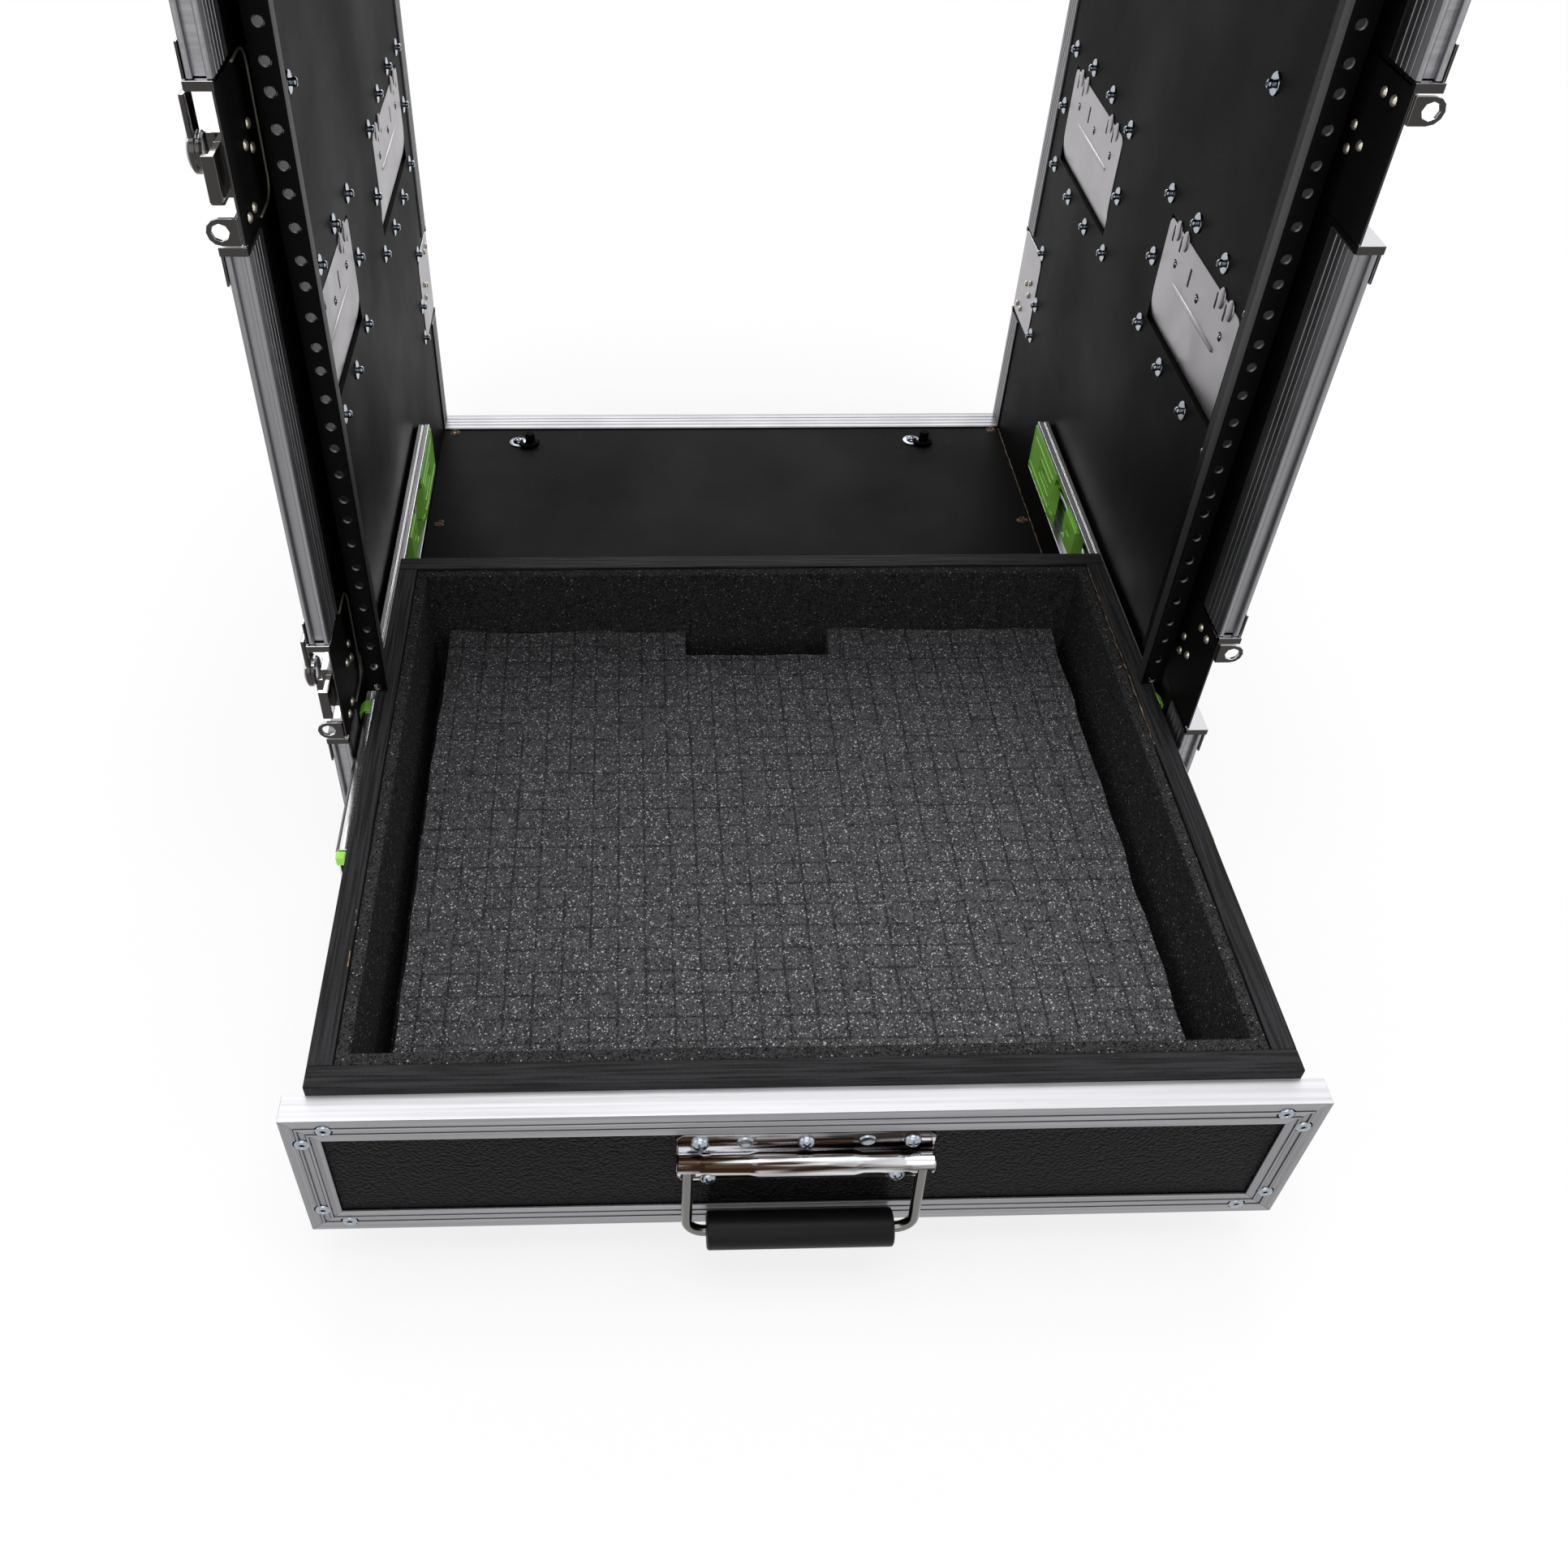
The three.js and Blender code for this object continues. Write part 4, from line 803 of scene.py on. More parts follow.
for side, way in (("left", -1), ("right", 1)):
    flip = 1 if side == "right" else -1
    for end in ("front", "rear"):
        for level, z in latch_heights.items():
            name = "%s_%s_%s" % (end, level, side)
            dish = merged("latch_dish_" + name)
            paint_chrome_reflections(dish)
            # Inner faces take plain zinc in the rear dishes and the painted near-black reflection in the
            # front ones.
            for face in dish.faces:
                if face.normal.x * way < -0.5 and abs(face.calc_center_median().x) < pan_back:
                    face.material_index = 3 if end == "rear" else 4
            piece("latch_%s_pressing" % name, dish, chrome_with_painted_reflections + [zinc, pan_painted_reflection], "case",
                  ["latch_dish_" + name], pan_bevel)
            spots = []
            for y, dz in trio + pair:
                depth = y if end == "front" else rear_from_front - y
                up = flip if end == "front" else -flip
                spots.append(facing(at(way * latch_face, depth, z + dz * up), (-way, 0, 0)))
            rivets = copies(turned(latch_rivet, 14), spots)
            piece("latch_%s_rivets" % name, rivets, [pale_rivet], "case")
            if end == "front" and side == "left":
                path = [at(way * latch_face, y, z + rise) for y, rise in (
                    (bead_start, bead_rise), (bead_stop, bead_rise),
                    (bead_stop, -bead_rise), (bead_start, -bead_rise))]
                bead = bent_wire(bead_radius, path, [bead_bend, bead_bend], 8)
                piece("latch_%s_rolled_edge" % name, bead, [pale_rivet], "case")
            node = "latch_wing_" + name
            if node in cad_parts:
                low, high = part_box(node)
                pivot = (low + high) / 2
                arms = joined([box(*[Vector((x * way, y, z)) * mm for x, y, z in corners])
                               for corners in (strap_corners, lever_corners)])
                bmesh.ops.translate(arms, verts=arms.verts, vec=(0, pivot.y, pivot.z))
                hub_place = facing(Vector((way * hub_foot * mm, pivot.y, pivot.z)), (way, 0, 0))
                hub = copies(turned(hub_profile, 32), [hub_place])
                paint_chrome_reflections(arms)
                piece(node + "_arms", arms, chrome_with_painted_reflections, node, [node], arms_bevel)
                paint_chrome_reflections(hub)
                piece(node + "_hub", hub, chrome_with_painted_reflections, node, [node], hub_bevel)


# Feet
# Turned rubber feet, one near each corner of the floor. A screw and its washer hold each
# foot from inside its hollow.
foot_profile = [
    (0, 9), (6, 9), (6, 1.2), (7.0, 0.1), (14.5, 0), (15.4, 0.6), (15.9, 2), (17.6, 17), (18, 19),
    (17.6, 19.9), (0, 19.9)]
foot_screw = [(0, 6.4), (2, 6.5), (4.2, 7.6), (4.5, 8.9), (0, 8.9)]
for end in ("front", "rear"):
    for side, way in (("left", -1), ("right", 1)):
        node = "foot_%s_%s" % (end, side)
        low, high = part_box(node)
        base = Vector(((low.x + high.x) / 2, (low.y + high.y) / 2, 0))
        foot = copies(turned(foot_profile, 40), [Matrix.Translation(base)])
        piece(node + "_moulded", foot, [sleeve_rubber], "case", [node])
        screw = copies(turned(foot_screw, 16), [Matrix.Translation(base)])
        piece(node + "_screw", screw, [plated_steel], "case")


# Floor fittings
# Two small black stops at the rear of the floor, each held by a washered screw, and the
# torn edges of old screw holes.
def screw_head(radius, height):
    """A domed head with a cross recess."""
    dome = turned([
        (0, height), (radius * 0.45, height * 0.95), (radius * 0.8, height * 0.7), (radius, height * 0.25),
        (radius, -0.4), (0, -0.4)])
    arm = radius * 0.6
    blade = radius * 0.14
    seat = height * 0.35
    for x, y in ((arm, blade), (blade, arm)):
        dome = carved(dome, [box(Vector((-x, -y, seat)) * mm, Vector((x, y, height * 2)) * mm)])
    return dome


floor_face = -108.5
stop_places = (-180.3, 166)
stop_depth = 449
washer_top = 1.2
washer_profile = [(0, washer_top), (7.0, washer_top), (7.5, 0.9), (7.5, 0.02), (0, 0.02)]
stop_screw = screw_head(4.6, 3.2)
crescent_outline = [(9, -3), (9, 3), (7, 3.6), (5, 3), (5, -3)]
crescent_height = 3
crescent_shift = (9, -1)
crescent_turns = (-0.2, -0.9, -1.6, -2.3)
post_profile = [(4.2, 0.1), (4.0, 8.5), (3.3, 9.6), (0, 9.7)]
post_shift = (10.5, -0.5)
blacks = []
for x in stop_places:
    crescent = prism(crescent_outline, Vector(), x_axis, y_axis, Vector((0, 0, crescent_height * mm)))
    place = Matrix.Translation(at(x + crescent_shift[0], stop_depth + crescent_shift[1], floor_face))
    blacks.append(copies(crescent, [place @ Matrix.Rotation(turn, 4, "Z") for turn in crescent_turns]))
    place = Matrix.Translation(at(x + post_shift[0], stop_depth + post_shift[1], floor_face))
    blacks.append(copies(turned(post_profile, 20), [place]))
washers = [Matrix.Translation(at(x, stop_depth, floor_face)) for x in stop_places]
screws = [facing(at(x, stop_depth, floor_face + washer_top), z_axis, 0.5) for x in stop_places]
piece("floor_stop_washers", copies(turned(washer_profile, 28), washers), [plated_steel], "case")
piece("floor_stop_screws", copies(stop_screw, screws), [plated_steel], "case")
piece("floor_stops", joined(blacks), [deep_black], "case")

wood_depth = 0.2 * mm
raw_wood = Finish("raw_wood", tint(120, 78, 52), 0.8)
wood_grain = raw_wood.noise(700, 3, (1, 0.3, 1))
wood_shade = raw_wood.ramp(wood_grain, 0.4, 0.62)
raw_wood.set(**{"Base Color": raw_wood.between(wood_shade, tint(46, 30, 22), tint(176, 142, 112))})
raw_wood.relief(wood_grain, wood_depth)
old_holes = ((-237.5, 466), (-238, 328.4), (240, 466), (240.5, 327.5))
torn_rim = [(1.5, 0.05), (2.2, 1.5), (3.2, 1.1), (4.4, 0.05)]
splinters = []
for x, y in old_holes:
    rim = turned(torn_rim, 11)
    for vert in rim.verts:
        vert.co *= 1 + 0.6 * noise.noise(vert.co * 900 + Vector((x, y, 0)))
    splinters.append(copies(rim, [Matrix.Translation(at(x, y, floor_face))]))


def torn_line(x, y, z, reach, dip):
    """A thin torn edge of veneer that runs rearwards and dips in and out of sight."""
    section = [(0, 0), (0.5, 0), (0.5, 0.5), (0, 0.5)]
    sway = 0.7
    line = prism(section, at(x, y, z), x_axis, z_axis, Vector((0, reach * mm, 0)))
    lengthwise = [edge for edge in line.edges if edge.calc_length() > reach * mm / 2]
    bmesh.ops.subdivide_edges(line, edges=lengthwise, cuts=60)
    for vert in line.verts:
        vert.co.x += (noise.noise(vert.co * 130) - 0.3) * sway * mm
        vert.co.z += noise.noise(vert.co * 300) * dip * mm
    return line


floor_tear = (246.8, 282, floor_face, 186, 0.2)
splinters.append(torn_line(*floor_tear))
piece("floor_splinters", joined(splinters), [raw_wood], "case")
hole_profile = [(0, 0.3), (1.6, 0.3), (1.7, 0.02)]
holes = [Matrix.Translation(at(x, y, floor_face)) for x, y in old_holes]
piece("floor_screw_holes", copies(turned(hole_profile, 12), holes), [plated_steel], "case")


# Drawer box
# A box of 12 mm plywood stained black, butted and glued, with its plies showing faintly
# on the rims.
def stained_plywood(name, stretch):
    """Black stain over plies that run along the board."""
    made = Finish(name, tint(30, 30, 31), 0.6)
    plies = made.noise(620, 2, stretch)
    dust = made.noise(900, 2)
    shade = made.ramp(plies * 0.8 + dust * 0.2, 0.42, 0.58)
    made.set(**{
        "Base Color": made.between(shade, tint(19, 19, 20), tint(44, 44, 46)),
        "Specular IOR Level": 0.12})
    made.relief(shade, wood_depth)
    return made


plywood_across = stained_plywood("black_plywood_across", (0.03, 1, 1))
plywood_along = stained_plywood("black_plywood_along", (1, 0.03, 1))
box_half = 234.5
box_front = -271.5
box_back = 134
box_bottom = -102
box_rim = 1.5
board = 12
floor_sheet = 6
joint = 0.06
box_bevel = 0.5 * mm
box_tears = (
    (222.4, -50, 0.65, 168, 1.4),
    (-223.2, -255, 0.6, 90, 1.5))
cross_boards = [
    box(at(-box_half, box_front, box_bottom), at(box_half, box_front + board, box_rim)),
    box(at(-box_half, box_back - board, box_bottom), at(box_half, box_back, box_rim))]
side_boards = [box(
    at(way * box_half, box_front + board + joint, box_bottom),
    at(way * (box_half - board), box_back - board - joint, box_rim)) for way in (-1, 1)]
floor_board = box(
    at(joint + board - box_half, box_front + board + joint, box_bottom),
    at(box_half - board - joint, box_back - board - joint, box_bottom + floor_sheet))
piece("drawer_box_ends", joined(cross_boards), [plywood_across], "drawer",
      ["drawer_box"], box_bevel)
piece("drawer_box_sides", joined(side_boards + [floor_board]), [plywood_along], "drawer",
      ["drawer_box"], box_bevel)
torn = [torn_line(*tear) for tear in box_tears]
piece("drawer_box_splinters", joined(torn), [raw_wood], "drawer")


# Foam in the drawer
# A lining of dark open-cell foam glued to the boards, and a thick slab cut into a grid of
# cubes that are plucked out to fit the load. Its edges are hand cut and a little wavy.
def foam_finish(name, dark, light, white, white_above):
    """Open-cell foam: mottled, with torn cells painted white as highlights where they catch the light."""
    made = Finish(name, dark, 0.95)
    cells = made.node("ShaderNodeTexVoronoi", {}, {"Vector": made.place, "Scale": 1450.0}, 1) + 0.0
    mottle = made.noise(130, 3)
    tone = made.ramp(cells * 0.75 + mottle * 0.25, 0.2, 0.72)
    glint = made.ramp(cells, white_above, white_above + 0.02)
    made.set(**{"Specular IOR Level": 0.05})
    return made, made.between(glint, made.between(tone, dark, light), white), cells


lining_bevel = 1.0 * mm
lining_cell_depth = 0.3 * mm
slab_cell_depth = 0.5 * mm
liner_foam, colour, cells = foam_finish(
    "liner_foam", tint(12, 12, 12), tint(64, 64, 65), tint(150, 150, 154), 0.9)
liner_foam.set(**{"Base Color": colour})
liner_foam.relief(cells, lining_cell_depth)
liner = piece("drawer_foam_lining", merged("drawer_foam_liner"), [liner_foam], "drawer",
              ["drawer_foam_liner"], lining_bevel)

slab_foam, colour, cells = foam_finish(
    "slab_foam", tint(30, 30, 31), tint(106, 105, 108), tint(204, 203, 210), 0.84)
axes = slab_foam.node("ShaderNodeSeparateXYZ", {}, {"Vector": slab_foam.place})
cube = 15 * mm
cut_soft = 0.4 * mm
cut_half_width = 0.45 * mm
cut_edge = cube * 0.5 - cut_half_width
cut_sway = 0.9 * mm
cut_shift = 0.45 * mm
waver = slab_foam.noise(60, 2) * cut_sway - cut_shift
# The grid cuts are painted dark along their lines: painted shade in the slits.
cut_shade_strengths = {"X": 0.56, "Y": 0.47}
cuts = None
for axis, strength in cut_shade_strengths.items():
    along = Signal(slab_foam, axes.socket.node.outputs[axis]) + (waver + cube * 100)
    from_middle = slab_foam.node(
        "ShaderNodeMath", {"operation": "ABSOLUTE"}, {0: (along % cube) - cube * 0.5})
    line = slab_foam.ramp(from_middle, cut_edge - cut_soft, cut_edge) * strength
    cuts = line if cuts is None else cuts.maths("MAXIMUM", cuts, line)
closed = slab_foam.ramp(slab_foam.noise(70, 3), 0.34, 0.52, 0.3, 1.0)
cuts = cuts * closed
# The slab is painted darker towards its left side: painted shade.
left_shade_span = (-200 * mm, 120 * mm)
left_painted_shade = slab_foam.ramp(Signal(slab_foam, axes.socket.node.outputs["X"]), *left_shade_span, 0.75, 1.0)
colour = slab_foam.between(left_painted_shade, tint(20, 20, 20), colour)
slab_foam.set(**{"Base Color": slab_foam.between(cuts, colour, tint(20, 20, 21))})
slab_foam.relief(cells * 0.6 - cuts, slab_cell_depth)

slab_low, slab_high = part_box("drawer_foam_slab")
notch = [x * mm for x in (-45.5, 51.5)]
notch_depth = 26 * mm
notch_front = slab_high.y - notch_depth
broad_swell = 0.9
fine_swell = 0.5
edge_waves = 2.4
edge_trim = 1.4
slab_sink = 1.2 * mm
lump_from_left = 7 * mm
lump_from_rear = 5 * mm
lump_corner = (slab_low.x + lump_from_left, slab_high.y - lump_from_rear)
lump_width = 9 * mm
lump_height = 4 * mm
slab_lift = 2.5 * mm
slab_bevel = 1.5 * mm
slab_middle = (slab_low.y + slab_high.y) / 2
slab_top = Matrix.Translation(
    (slab_low + slab_high) / 2 + Vector((0, 0, (slab_high.z - slab_low.z) / 2)))
slab_size = Matrix.Diagonal((slab_high.x - slab_low.x, slab_high.y - slab_low.y, 1, 1))
shape = bmesh.new()
bmesh.ops.create_grid(shape, x_segments=60, y_segments=54, size=0.5, matrix=slab_top @ slab_size)
for x in notch:
    sliced(shape, (x, 0, 0), x_axis)
sliced(shape, (0, notch_front, 0), y_axis)
gone = []
for face in shape.faces:
    middle = face.calc_center_median()
    if notch[0] < middle.x < notch[1] and middle.y > notch_front:
        gone.append(face)
bmesh.ops.delete(shape, geom=gone, context="FACES")
for vert in shape.verts:
    swell = noise.noise(vert.co * 14) * broad_swell * mm + noise.noise(vert.co * 45) * fine_swell * mm
    wave = Vector((noise.noise(vert.co * 30 + Vector((9, 0, 0))), noise.noise(vert.co * 30), 0))
    if vert.is_boundary:
        outward = Vector((vert.co.x, vert.co.y - slab_middle, 0)).normalized()
        vert.co += wave * edge_waves * mm - outward * edge_trim * mm
    lump = (vert.co - Vector((*lump_corner, vert.co.z))).length / lump_width
    vert.co.z += swell - slab_sink + lump_height * exp(-lump * lump)
top = shape.faces[:]
for face in top:
    face.normal_update()
sides = bmesh.ops.extrude_face_region(shape, geom=top)["geom"]
bmesh.ops.translate(
    shape, verts=verts_of(sides), vec=(0, 0, slab_low.z - slab_high.z + slab_lift))
bmesh.ops.recalc_face_normals(shape, faces=shape.faces)
slab = piece("drawer_foam_cubes", shape, [slab_foam], "drawer", ["drawer_foam_slab"], slab_bevel)


# Drawer front
# A pebbled board in a mitred frame of bright aluminium, held by two blind rivets at each
# end of its sides.
def mitred(shape, place, normal):
    """Cuts the end of a bar off square to a normal, and closes it."""
    bmesh.ops.edgeloop_fill(shape, edges=sliced(shape, place, normal, fine_merge, True))


panel_bevel = 0.3 * mm
trim_bevel = 0.15 * mm
piece("drawer_front_board", merged("drawer_front_panel"), [pebbled_laminate], "drawer",
      ["drawer_front_panel"], panel_bevel)

trim_low, trim_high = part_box("drawer_front_frame")
trim_width = 17.5
trim_sheet = 1.5
trim_depth = (trim_high.y - trim_low.y) / mm
rib_places = (6.6, 11.4)
rib_width = 1.2
rib_height = 0.5
groove = 0.5
flange = [(0, 0), (trim_width, 0)]
for rib in reversed(rib_places):
    rib_end = rib + rib_width
    flange[1:1] = [
        (rib - groove, 0), (rib - groove, groove), (rib, groove), (rib, -rib_height),
        (rib_end, -rib_height), (rib_end, groove), (rib_end + groove, groove), (rib_end + groove, 0)]
trim_outline = [(a, b + rib_height) for a, b in flange]
trim_outline += [
    (trim_width, trim_sheet), (trim_sheet, trim_sheet), (trim_sheet, trim_depth), (0, trim_depth)]

mitre_gap = 0.08 * mm
bars = {aluminium_across: [], aluminium_upright: []}
corners = [Vector((x, trim_low.y, z)) for x, z in (
    (trim_low.x, trim_low.z), (trim_high.x, trim_low.z),
    (trim_high.x, trim_high.z), (trim_low.x, trim_high.z))]
for index, corner in enumerate(corners):
    after = corners[(index + 1) % len(corners)]
    run = after - corner
    along = run.normalized()
    inward = Vector((-along.z, 0, along.x))
    bar = prism(trim_outline, corner, inward, y_axis, run)
    mitred(bar, corner + along * mitre_gap, inward - along)
    mitred(bar, after - along * mitre_gap, inward + along)
    bars[aluminium_across if abs(along.x) > 0.5 else aluminium_upright].append(bar)
# A brighter copy of the aluminium for the top face of the upper bar: a painted highlight.
aluminium_painted_highlight = drawn_aluminium("aluminium_painted_highlight_across", (0.01, 1, 1), 196, 0.42)
height_slack = 0.1 * mm
highlight_above = trim_high.z - height_slack
for finish, name in ((aluminium_across, "level"), (aluminium_upright, "upright")):
    shape = joined(bars[finish])
    for face in shape.faces:
        on_top = face.normal.z > 0.7 and face.calc_center_median().z > highlight_above
        face.material_index = 1 if on_top else 0
    piece("drawer_front_trim_" + name, shape, [finish, aluminium_painted_highlight], "drawer",
          ["drawer_front_frame"], trim_bevel)

trim_rivet = [
    (0, 0.45), (0.7, 0.6), (1.1, 0.2), (1.5, 0.9), (2.1, 1.25), (3.0, 1.1), (3.6, 0.6), (3.9, 0.05),
    (3.9, -0.3)]
trim_rivet_shadow_ring = [(0, 0.08), (4.4, 0.08), (4.5, 0), (4.5, -0.1)]
trim_rivet_bore_shade = [(0, 0.75), (1.0, 0.75), (1.0, 0.2)]
rivet_inset = 8.4
rivet_reach = 20
rivet_spots = []
for corner in corners:
    for along_x, along_z in ((rivet_reach, rivet_inset), (rivet_inset, rivet_reach)):
        way = Vector((-1 if corner.x > 0 else 1, 0, -1 if corner.z > trim_low.z else 1))
        spot = corner + Vector((way.x * along_x * mm, rib_height * mm, way.z * along_z * mm))
        rivet_spots.append(facing(spot, (0, -1, 0)))
piece("drawer_front_rivets", copies(turned(trim_rivet), rivet_spots), [plated_steel], "drawer")
# Black rings round the trim rivets and black discs in their bores: painted shadow round each head and painted
# shade in each hole.
shadow_rings = [copies(turned(trim_rivet_shadow_ring), rivet_spots), copies(turned(trim_rivet_bore_shade, 12), rivet_spots)]
piece("drawer_front_rivet_painted_shade", joined(shadow_rings), [deep_black], "drawer")


# Drop handle on the drawer
# A chromed pressing screwed to the front. Its rolled barrel, swaged wider in the middle,
# holds a bail of round wire with a rubber sleeve on it.
# The pull's chrome with painted reflections: dark bronze and light bands drawn out along the barrel.
barrel_chrome = polished_chrome("barrel_chrome", (0.05, 1, 1), 230, tint(48, 36, 26), 0.44, 0.6)
pull_low, pull_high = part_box("drawer_pull_plate")
pull_axis = at(0, -290.4, -40.9)
pull_half = 61.5
pull_height = 41.2
pull_corner = 3
leg_place = 56.4
wire_radius = 2.75
swing_room = wire_radius + 0.8
plate_sheet = 1.3
pull_bevel = 0.3 * mm
plate_outline = [
    (pull_corner - pull_half, 0), (pull_half - pull_corner, 0), (pull_half, pull_corner),
    (pull_half, pull_height - pull_corner), (pull_half - pull_corner, pull_height),
    (pull_corner - pull_half, pull_height), (-pull_half, pull_height - pull_corner),
    (-pull_half, pull_corner)]
plate = prism(plate_outline, Vector((0, pull_high.y, pull_low.z)), x_axis, z_axis,
              Vector((0, -plate_sheet * mm, 0)))
barrel_half = [
    (6.3, 22.5), (5.3, 27.5), (5.3, 45), (4.9, 46.5), (4.9, 49), (5.6, 51), (5.6, 60.8), (4.9, 61.5),
    (0, 61.5)]
barrel_profile = [(radius, -height) for radius, height in reversed(barrel_half)] + barrel_half
barrel = copies(turned(barrel_profile, 32), [facing(pull_axis, x_axis)])
slot_low = Vector((-swing_room, -12, -12)) * mm
slot_high = Vector((swing_room, 2.0, 1.2)) * mm
slots = []
for way in (-1, 1):
    leg = pull_axis + Vector((way * leg_place, 0, 0)) * mm
    slots.append(box(leg + slot_low, leg + slot_high))
pressing = joined([plate, carved(barrel, slots)])
piece("drawer_pull_pressing", pressing, [barrel_chrome], "drawer",
      ["drawer_pull_plate"], pull_bevel)

leg_foot = pull_axis + Vector((0, -6.2, -52.6)) * mm
pin_length = 20
pull_bends = [4 * mm, 9 * mm, 9 * mm, 4 * mm]
leg = Vector((leg_place, 0, 0)) * mm
pin_end = Vector((leg_place - pin_length, 0, 0)) * mm
path = [
    pull_axis - pin_end, pull_axis - leg, leg_foot - leg, leg_foot + leg, pull_axis + leg,
    pull_axis + pin_end]
bail = bent_wire(wire_radius * mm, path, pull_bends, 20)
piece("drawer_pull_wire", bail, [chrome_wire_painted_dark], "drawer_pull_bail", ["drawer_pull_bail"])
pull_sleeve = [
    (2.9, -46.5), (8.4, -46.5), (9.3, -45.9), (9.5, -45.0), (9.5, 45.0), (9.3, 45.9), (8.4, 46.5),
    (2.9, 46.5), (2.9, -46.5)]
sleeve = copies(turned(pull_sleeve, 40), [facing(leg_foot, x_axis)])
piece("drawer_pull_sleeve", sleeve, [sleeve_rubber], "drawer_pull_bail",
      ["drawer_pull_grip"])


def on_plate(x, z, slope=0, turn=0.0):
    """A placement on the face of the plate, tipped upwards by a slope."""
    plate_face = pull_high.y - plate_sheet * mm
    return facing(Vector((x * mm, plate_face, at(0, 0, z).z)), (0, -1, slope), turn)


upper_row = -29.6
lower_row = -60.6
dimple_row = -29.2
dimple_profile = [(0, 0.15), (2.2, 0.2), (3.0, 0.75), (3.6, 0.8), (4.3, 0.1), (4.3, -0.2)]
screws = [on_plate(x, upper_row, 0.1, turn) for x, turn in ((-50.5, 0.3), (0, 0.9), (50.5, 0.1))]
screws += [on_plate(x, lower_row, turn=0.5) for x in (-46, 46)]
piece("drawer_pull_screws", copies(screw_head(4.3, 3.0), screws), [plated_steel], "drawer")
dimples = [on_plate(x, dimple_row) for x in (-29, 29)]
piece("drawer_pull_dimples", copies(turned(dimple_profile, 24), dimples), [plated_steel], "drawer")


# Slides
# Ball-bearing slides rolled from zinc-plated strip, three members to a side. The members
# on the walls carry green soft-close units at the rear and stops at the front.
# Copies of one zinc finish for the members: near white on flat faces as a painted highlight, mid grey on
# upright faces as painted shade.
slide_steel = Finish("slide_steel", tint(236, 236, 238), 0.2, 1.0)
roll_marks = slide_steel.noise(300, 2, (1, 0.02, 1))
slide_steel.set(**{"Roughness": slide_steel.ramp(roll_marks, 0.35, 0.65, 0.2, 0.26)})
slide_steel_painted_shade = Finish("slide_steel_painted_shade", tint(186, 188, 190), 0.3, 1.0)
# Dark steel for the soft-close pistons, also laid on the members' slopes as a painted reflection of the dark
# wall.
dark_steel_and_painted_reflection = Finish("dark_steel_and_painted_reflection", tint(46, 46, 48), 0.25, 0.9)
green = Finish("green_plastic", tint(160, 240, 92), 0.4)
green_cloud = green.noise(60, 2)
green.set(**{"Base Color": green.between(green_cloud, tint(158, 240, 84), tint(180, 250, 108))})
cabinet_outline = [
    (247.5, -57), (247.5, -18.7), (245.0, -16.2), (244.4, -15.6), (241.4, -15.5), (241.1, -15.9),
    (241.1, -16.3), (240.1, -16.3), (240.1, -15.9), (239.8, -15.5), (236.6, -15.5), (236, -16.1),
    (236, -16.7), (243.8, -16.7), (246.3, -19.2), (246.3, -27), (246.7, -27.5), (246.7, -28.5),
    (246.3, -29), (246.3, -36), (246.7, -36.5), (246.7, -37.5), (246.3, -38), (246.3, -44.5),
    (246.7, -45), (246.7, -46), (246.3, -46.5), (246.3, -55.8), (236, -55.8), (236, -57)]
middle_outline = [
    (246, -55.5), (246, -19.5), (244.2, -17.3), (243.6, -17), (238, -17), (237.5, -17.4),
    (237.5, -18.2), (243.4, -18.2), (244.8, -19.8), (244.8, -54.3), (237.5, -54.3), (237.5, -55.5)]
stop_outline = [
    (247.5, -57), (247.5, -18.7), (244.4, -15.6), (240.8, -15.5), (240.8, -16.8), (243.8, -16.8),
    (246.3, -19.4), (246.3, -55.7), (240.8, -55.7), (240.8, -57)]
drawer_outline = [
    (234.5, -54), (234.5, -18.5), (239, -18.5), (239, -19.7), (235.7, -19.7), (235.7, -52.8),
    (239, -52.8), (239, -54)]
stop_front = 4.2
stop_length = 8.4
clip_block = ((239.6, 245.4), (-113.6, -108.1), (-24.5, -17.8))
shell_block = ((235.9, 242.6), (258.6, 328), (-55.3, -18.2))
shell_openings = (
    ((230, 238.5), (271, 294.5), (-38.6, -35)), ((237, 244), (250, 266), (-28, -23.5)),
    ((230, 237), (316, 322), (-54.6, -53)), ((230, 237), (277, 283), (-54.6, -53)))
arm_block = ((238.6, 243), (196, 259), (-24.3, -20.2))
catch_block = ((236.2, 244.2), (192, 222), (-47, -24))
catch_openings = (
    ((234, 239), (204, 213), (-36, -30)), ((234, 238), (214, 224), (-44, -40)))
hook_block = ((235.8, 238), (251, 259), (-52, -49))
rib_xs = (235.3, 236.4)
ribs = (
    ((262, 322), (-26.6, -25.2)), ((266, 300), (-31.8, -30.8)), ((266, 300), (-43.6, -42.6)),
    ((299, 300.2), (-43.6, -30.8)), ((258.8, 327), (-50.6, -49.4)), ((326.4, 327.8), (-54, -19)),
    ((259, 261), (-55, -46)))
piston_blocks = (
    ((237.9, 238.6), (270, 296), (-39.4, -34)), ((241, 243.6), (258.9, 266), (-27.6, -24)))
rod_profile = [(0, 0), (0.9, 0), (0.9, 40), (0, 40)]
rod_place = (241, 221, -31)
member_bevel = 0.2 * mm
clip_bevel = 1.0 * mm
stop_bevel = 0.3 * mm
unit_bevel = 0.35 * mm


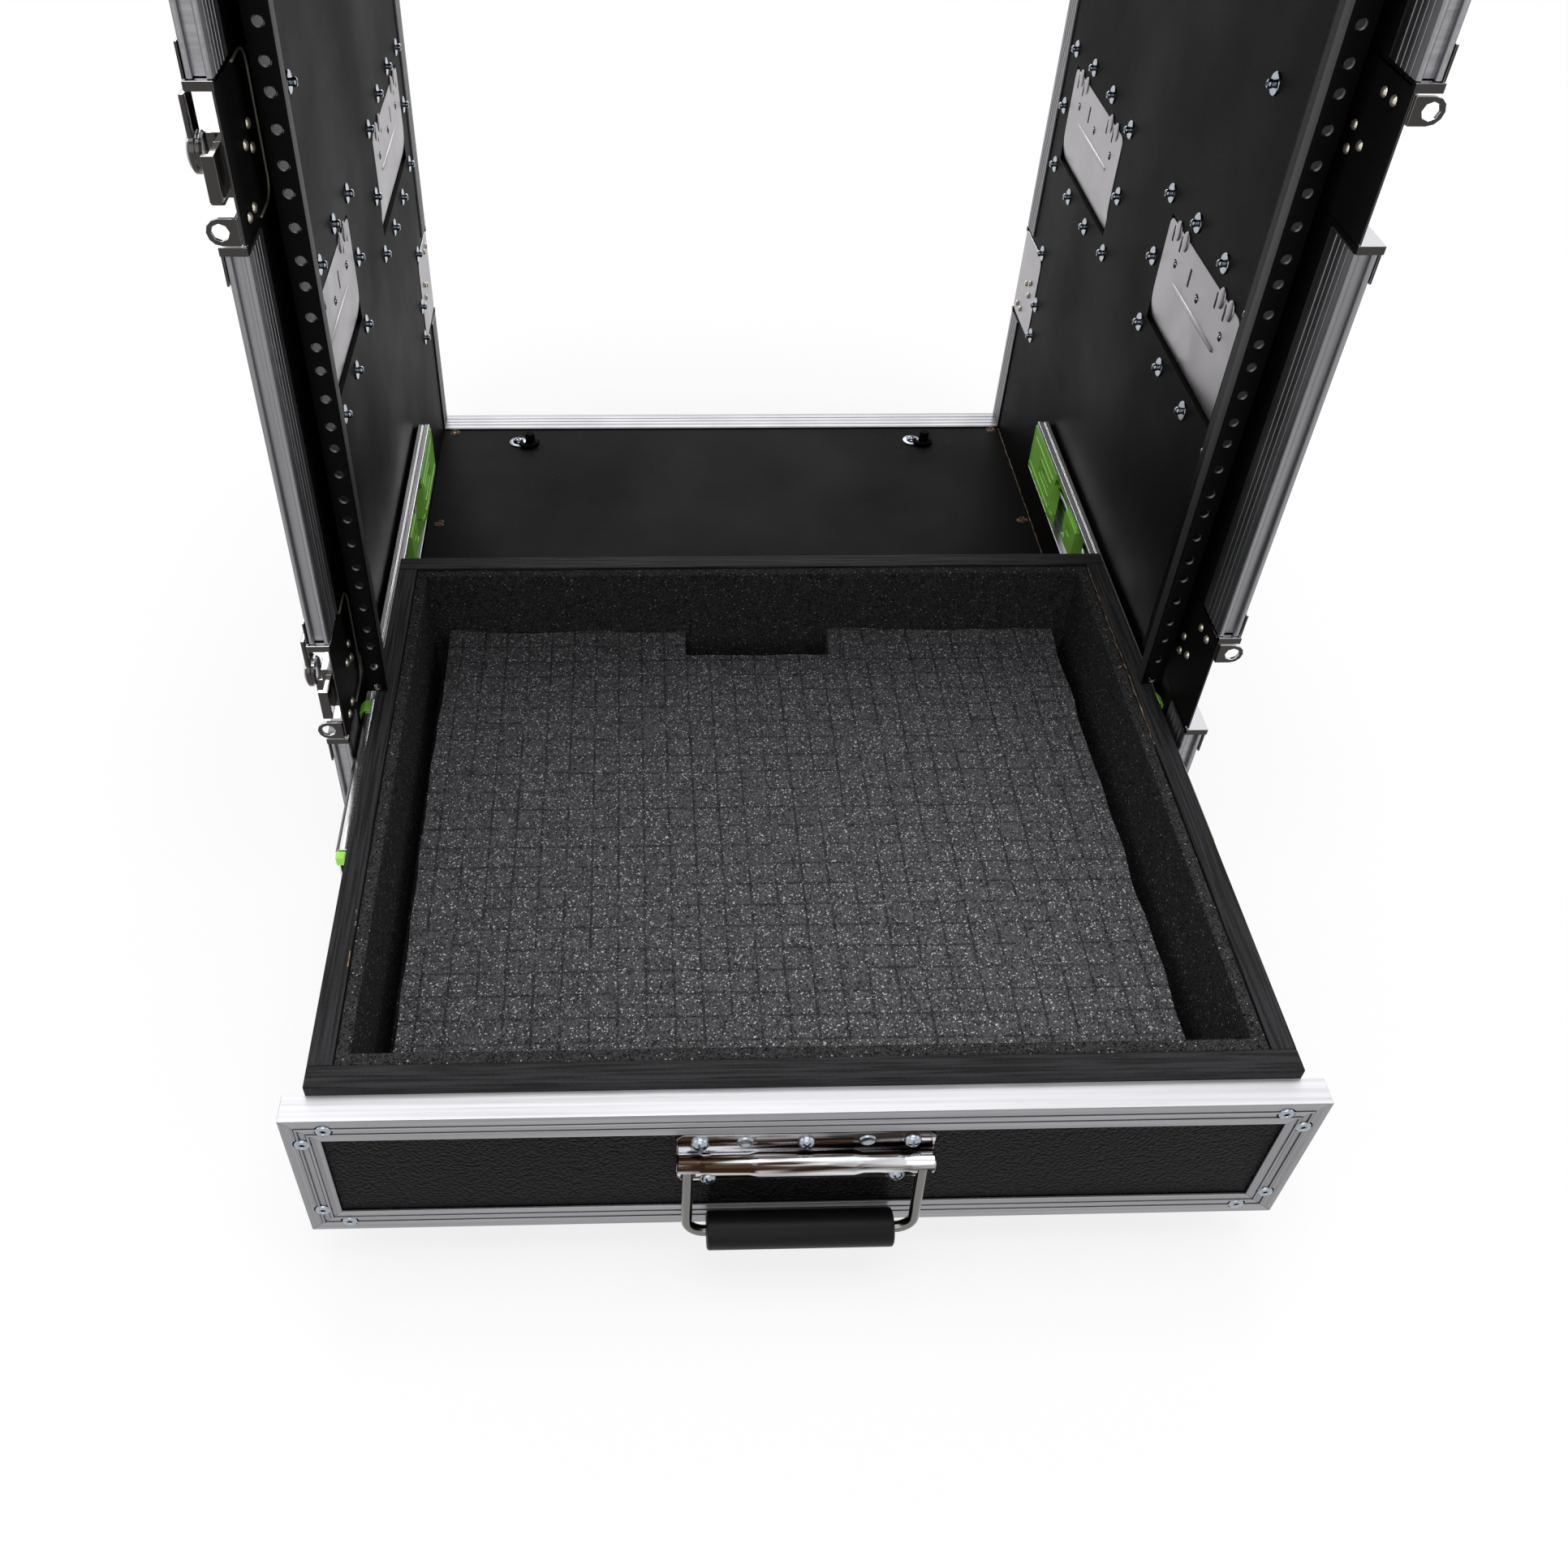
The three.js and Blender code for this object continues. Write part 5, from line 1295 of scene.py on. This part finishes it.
def side_blocks(way, sizes):
    """A side_block for each row of sizes."""
    return [side_block(way, *size) for size in sizes]


level = at(0, 0, 0).z
for side, way in (("left", -1), ("right", 1)):
    for name, outline, body in (
            ("cabinet", cabinet_outline, "case"),
            ("middle", middle_outline, "slide_middle_member_" + side),
            ("drawer", drawer_outline, "drawer")):
        node = "slide_%s_member_%s" % (name, side)
        low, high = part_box(node)
        member = prism([(way * a, b) for a, b in outline], Vector((0, low.y, level)), x_axis, z_axis,
                       Vector((0, high.y - low.y, 0)))
        # Slopes of the wall and middle members take the painted dark reflection, and upright faces the
        # painted shade.
        for face in member.faces:
            slope = abs(face.normal.x) > 0.3 and face.normal.z > 0.3
            if slope and name != "drawer":
                face.material_index = 1
            elif abs(face.normal.x) > 0.9:
                face.material_index = 2
        piece(node + "_rolled", member, [slide_steel, dark_steel_and_painted_reflection, slide_steel_painted_shade], body,
              [node], member_bevel)
    piece("slide_middle_clip_" + side, side_block(way, *clip_block), [green],
          "slide_middle_member_" + side, (), clip_bevel)
    stop = prism([(way * a, b) for a, b in stop_outline], Vector((0, at(0, stop_front, 0).y, level)),
                 x_axis, z_axis, Vector((0, stop_length * mm, 0)))
    piece("slide_front_stop_%s_moulded" % side, stop, [green], "case",
          ["slide_front_stop_" + side], stop_bevel)

    shell = carved(side_block(way, *shell_block), side_blocks(way, shell_openings))
    arm = side_block(way, *arm_block)
    catch = carved(side_block(way, *catch_block), side_blocks(way, catch_openings))
    hook = side_block(way, *hook_block)
    rib_blocks = [side_block(way, rib_xs, ys, zs) for ys, zs in ribs]
    piece("soft_close_%s_moulded" % side, joined([shell, arm, catch, hook] + rib_blocks), [green],
          "case", ["soft_close_unit_" + side], unit_bevel)
    piece("soft_close_%s_piston" % side, joined(side_blocks(way, piston_blocks)), [dark_steel_and_painted_reflection],
          "case")
    x, y, z = rod_place
    rod = copies(turned(rod_profile, 12), [facing(at(way * x, y, z), y_axis)])
    piece("soft_close_%s_rod" % side, rod, [plated_steel], "case")
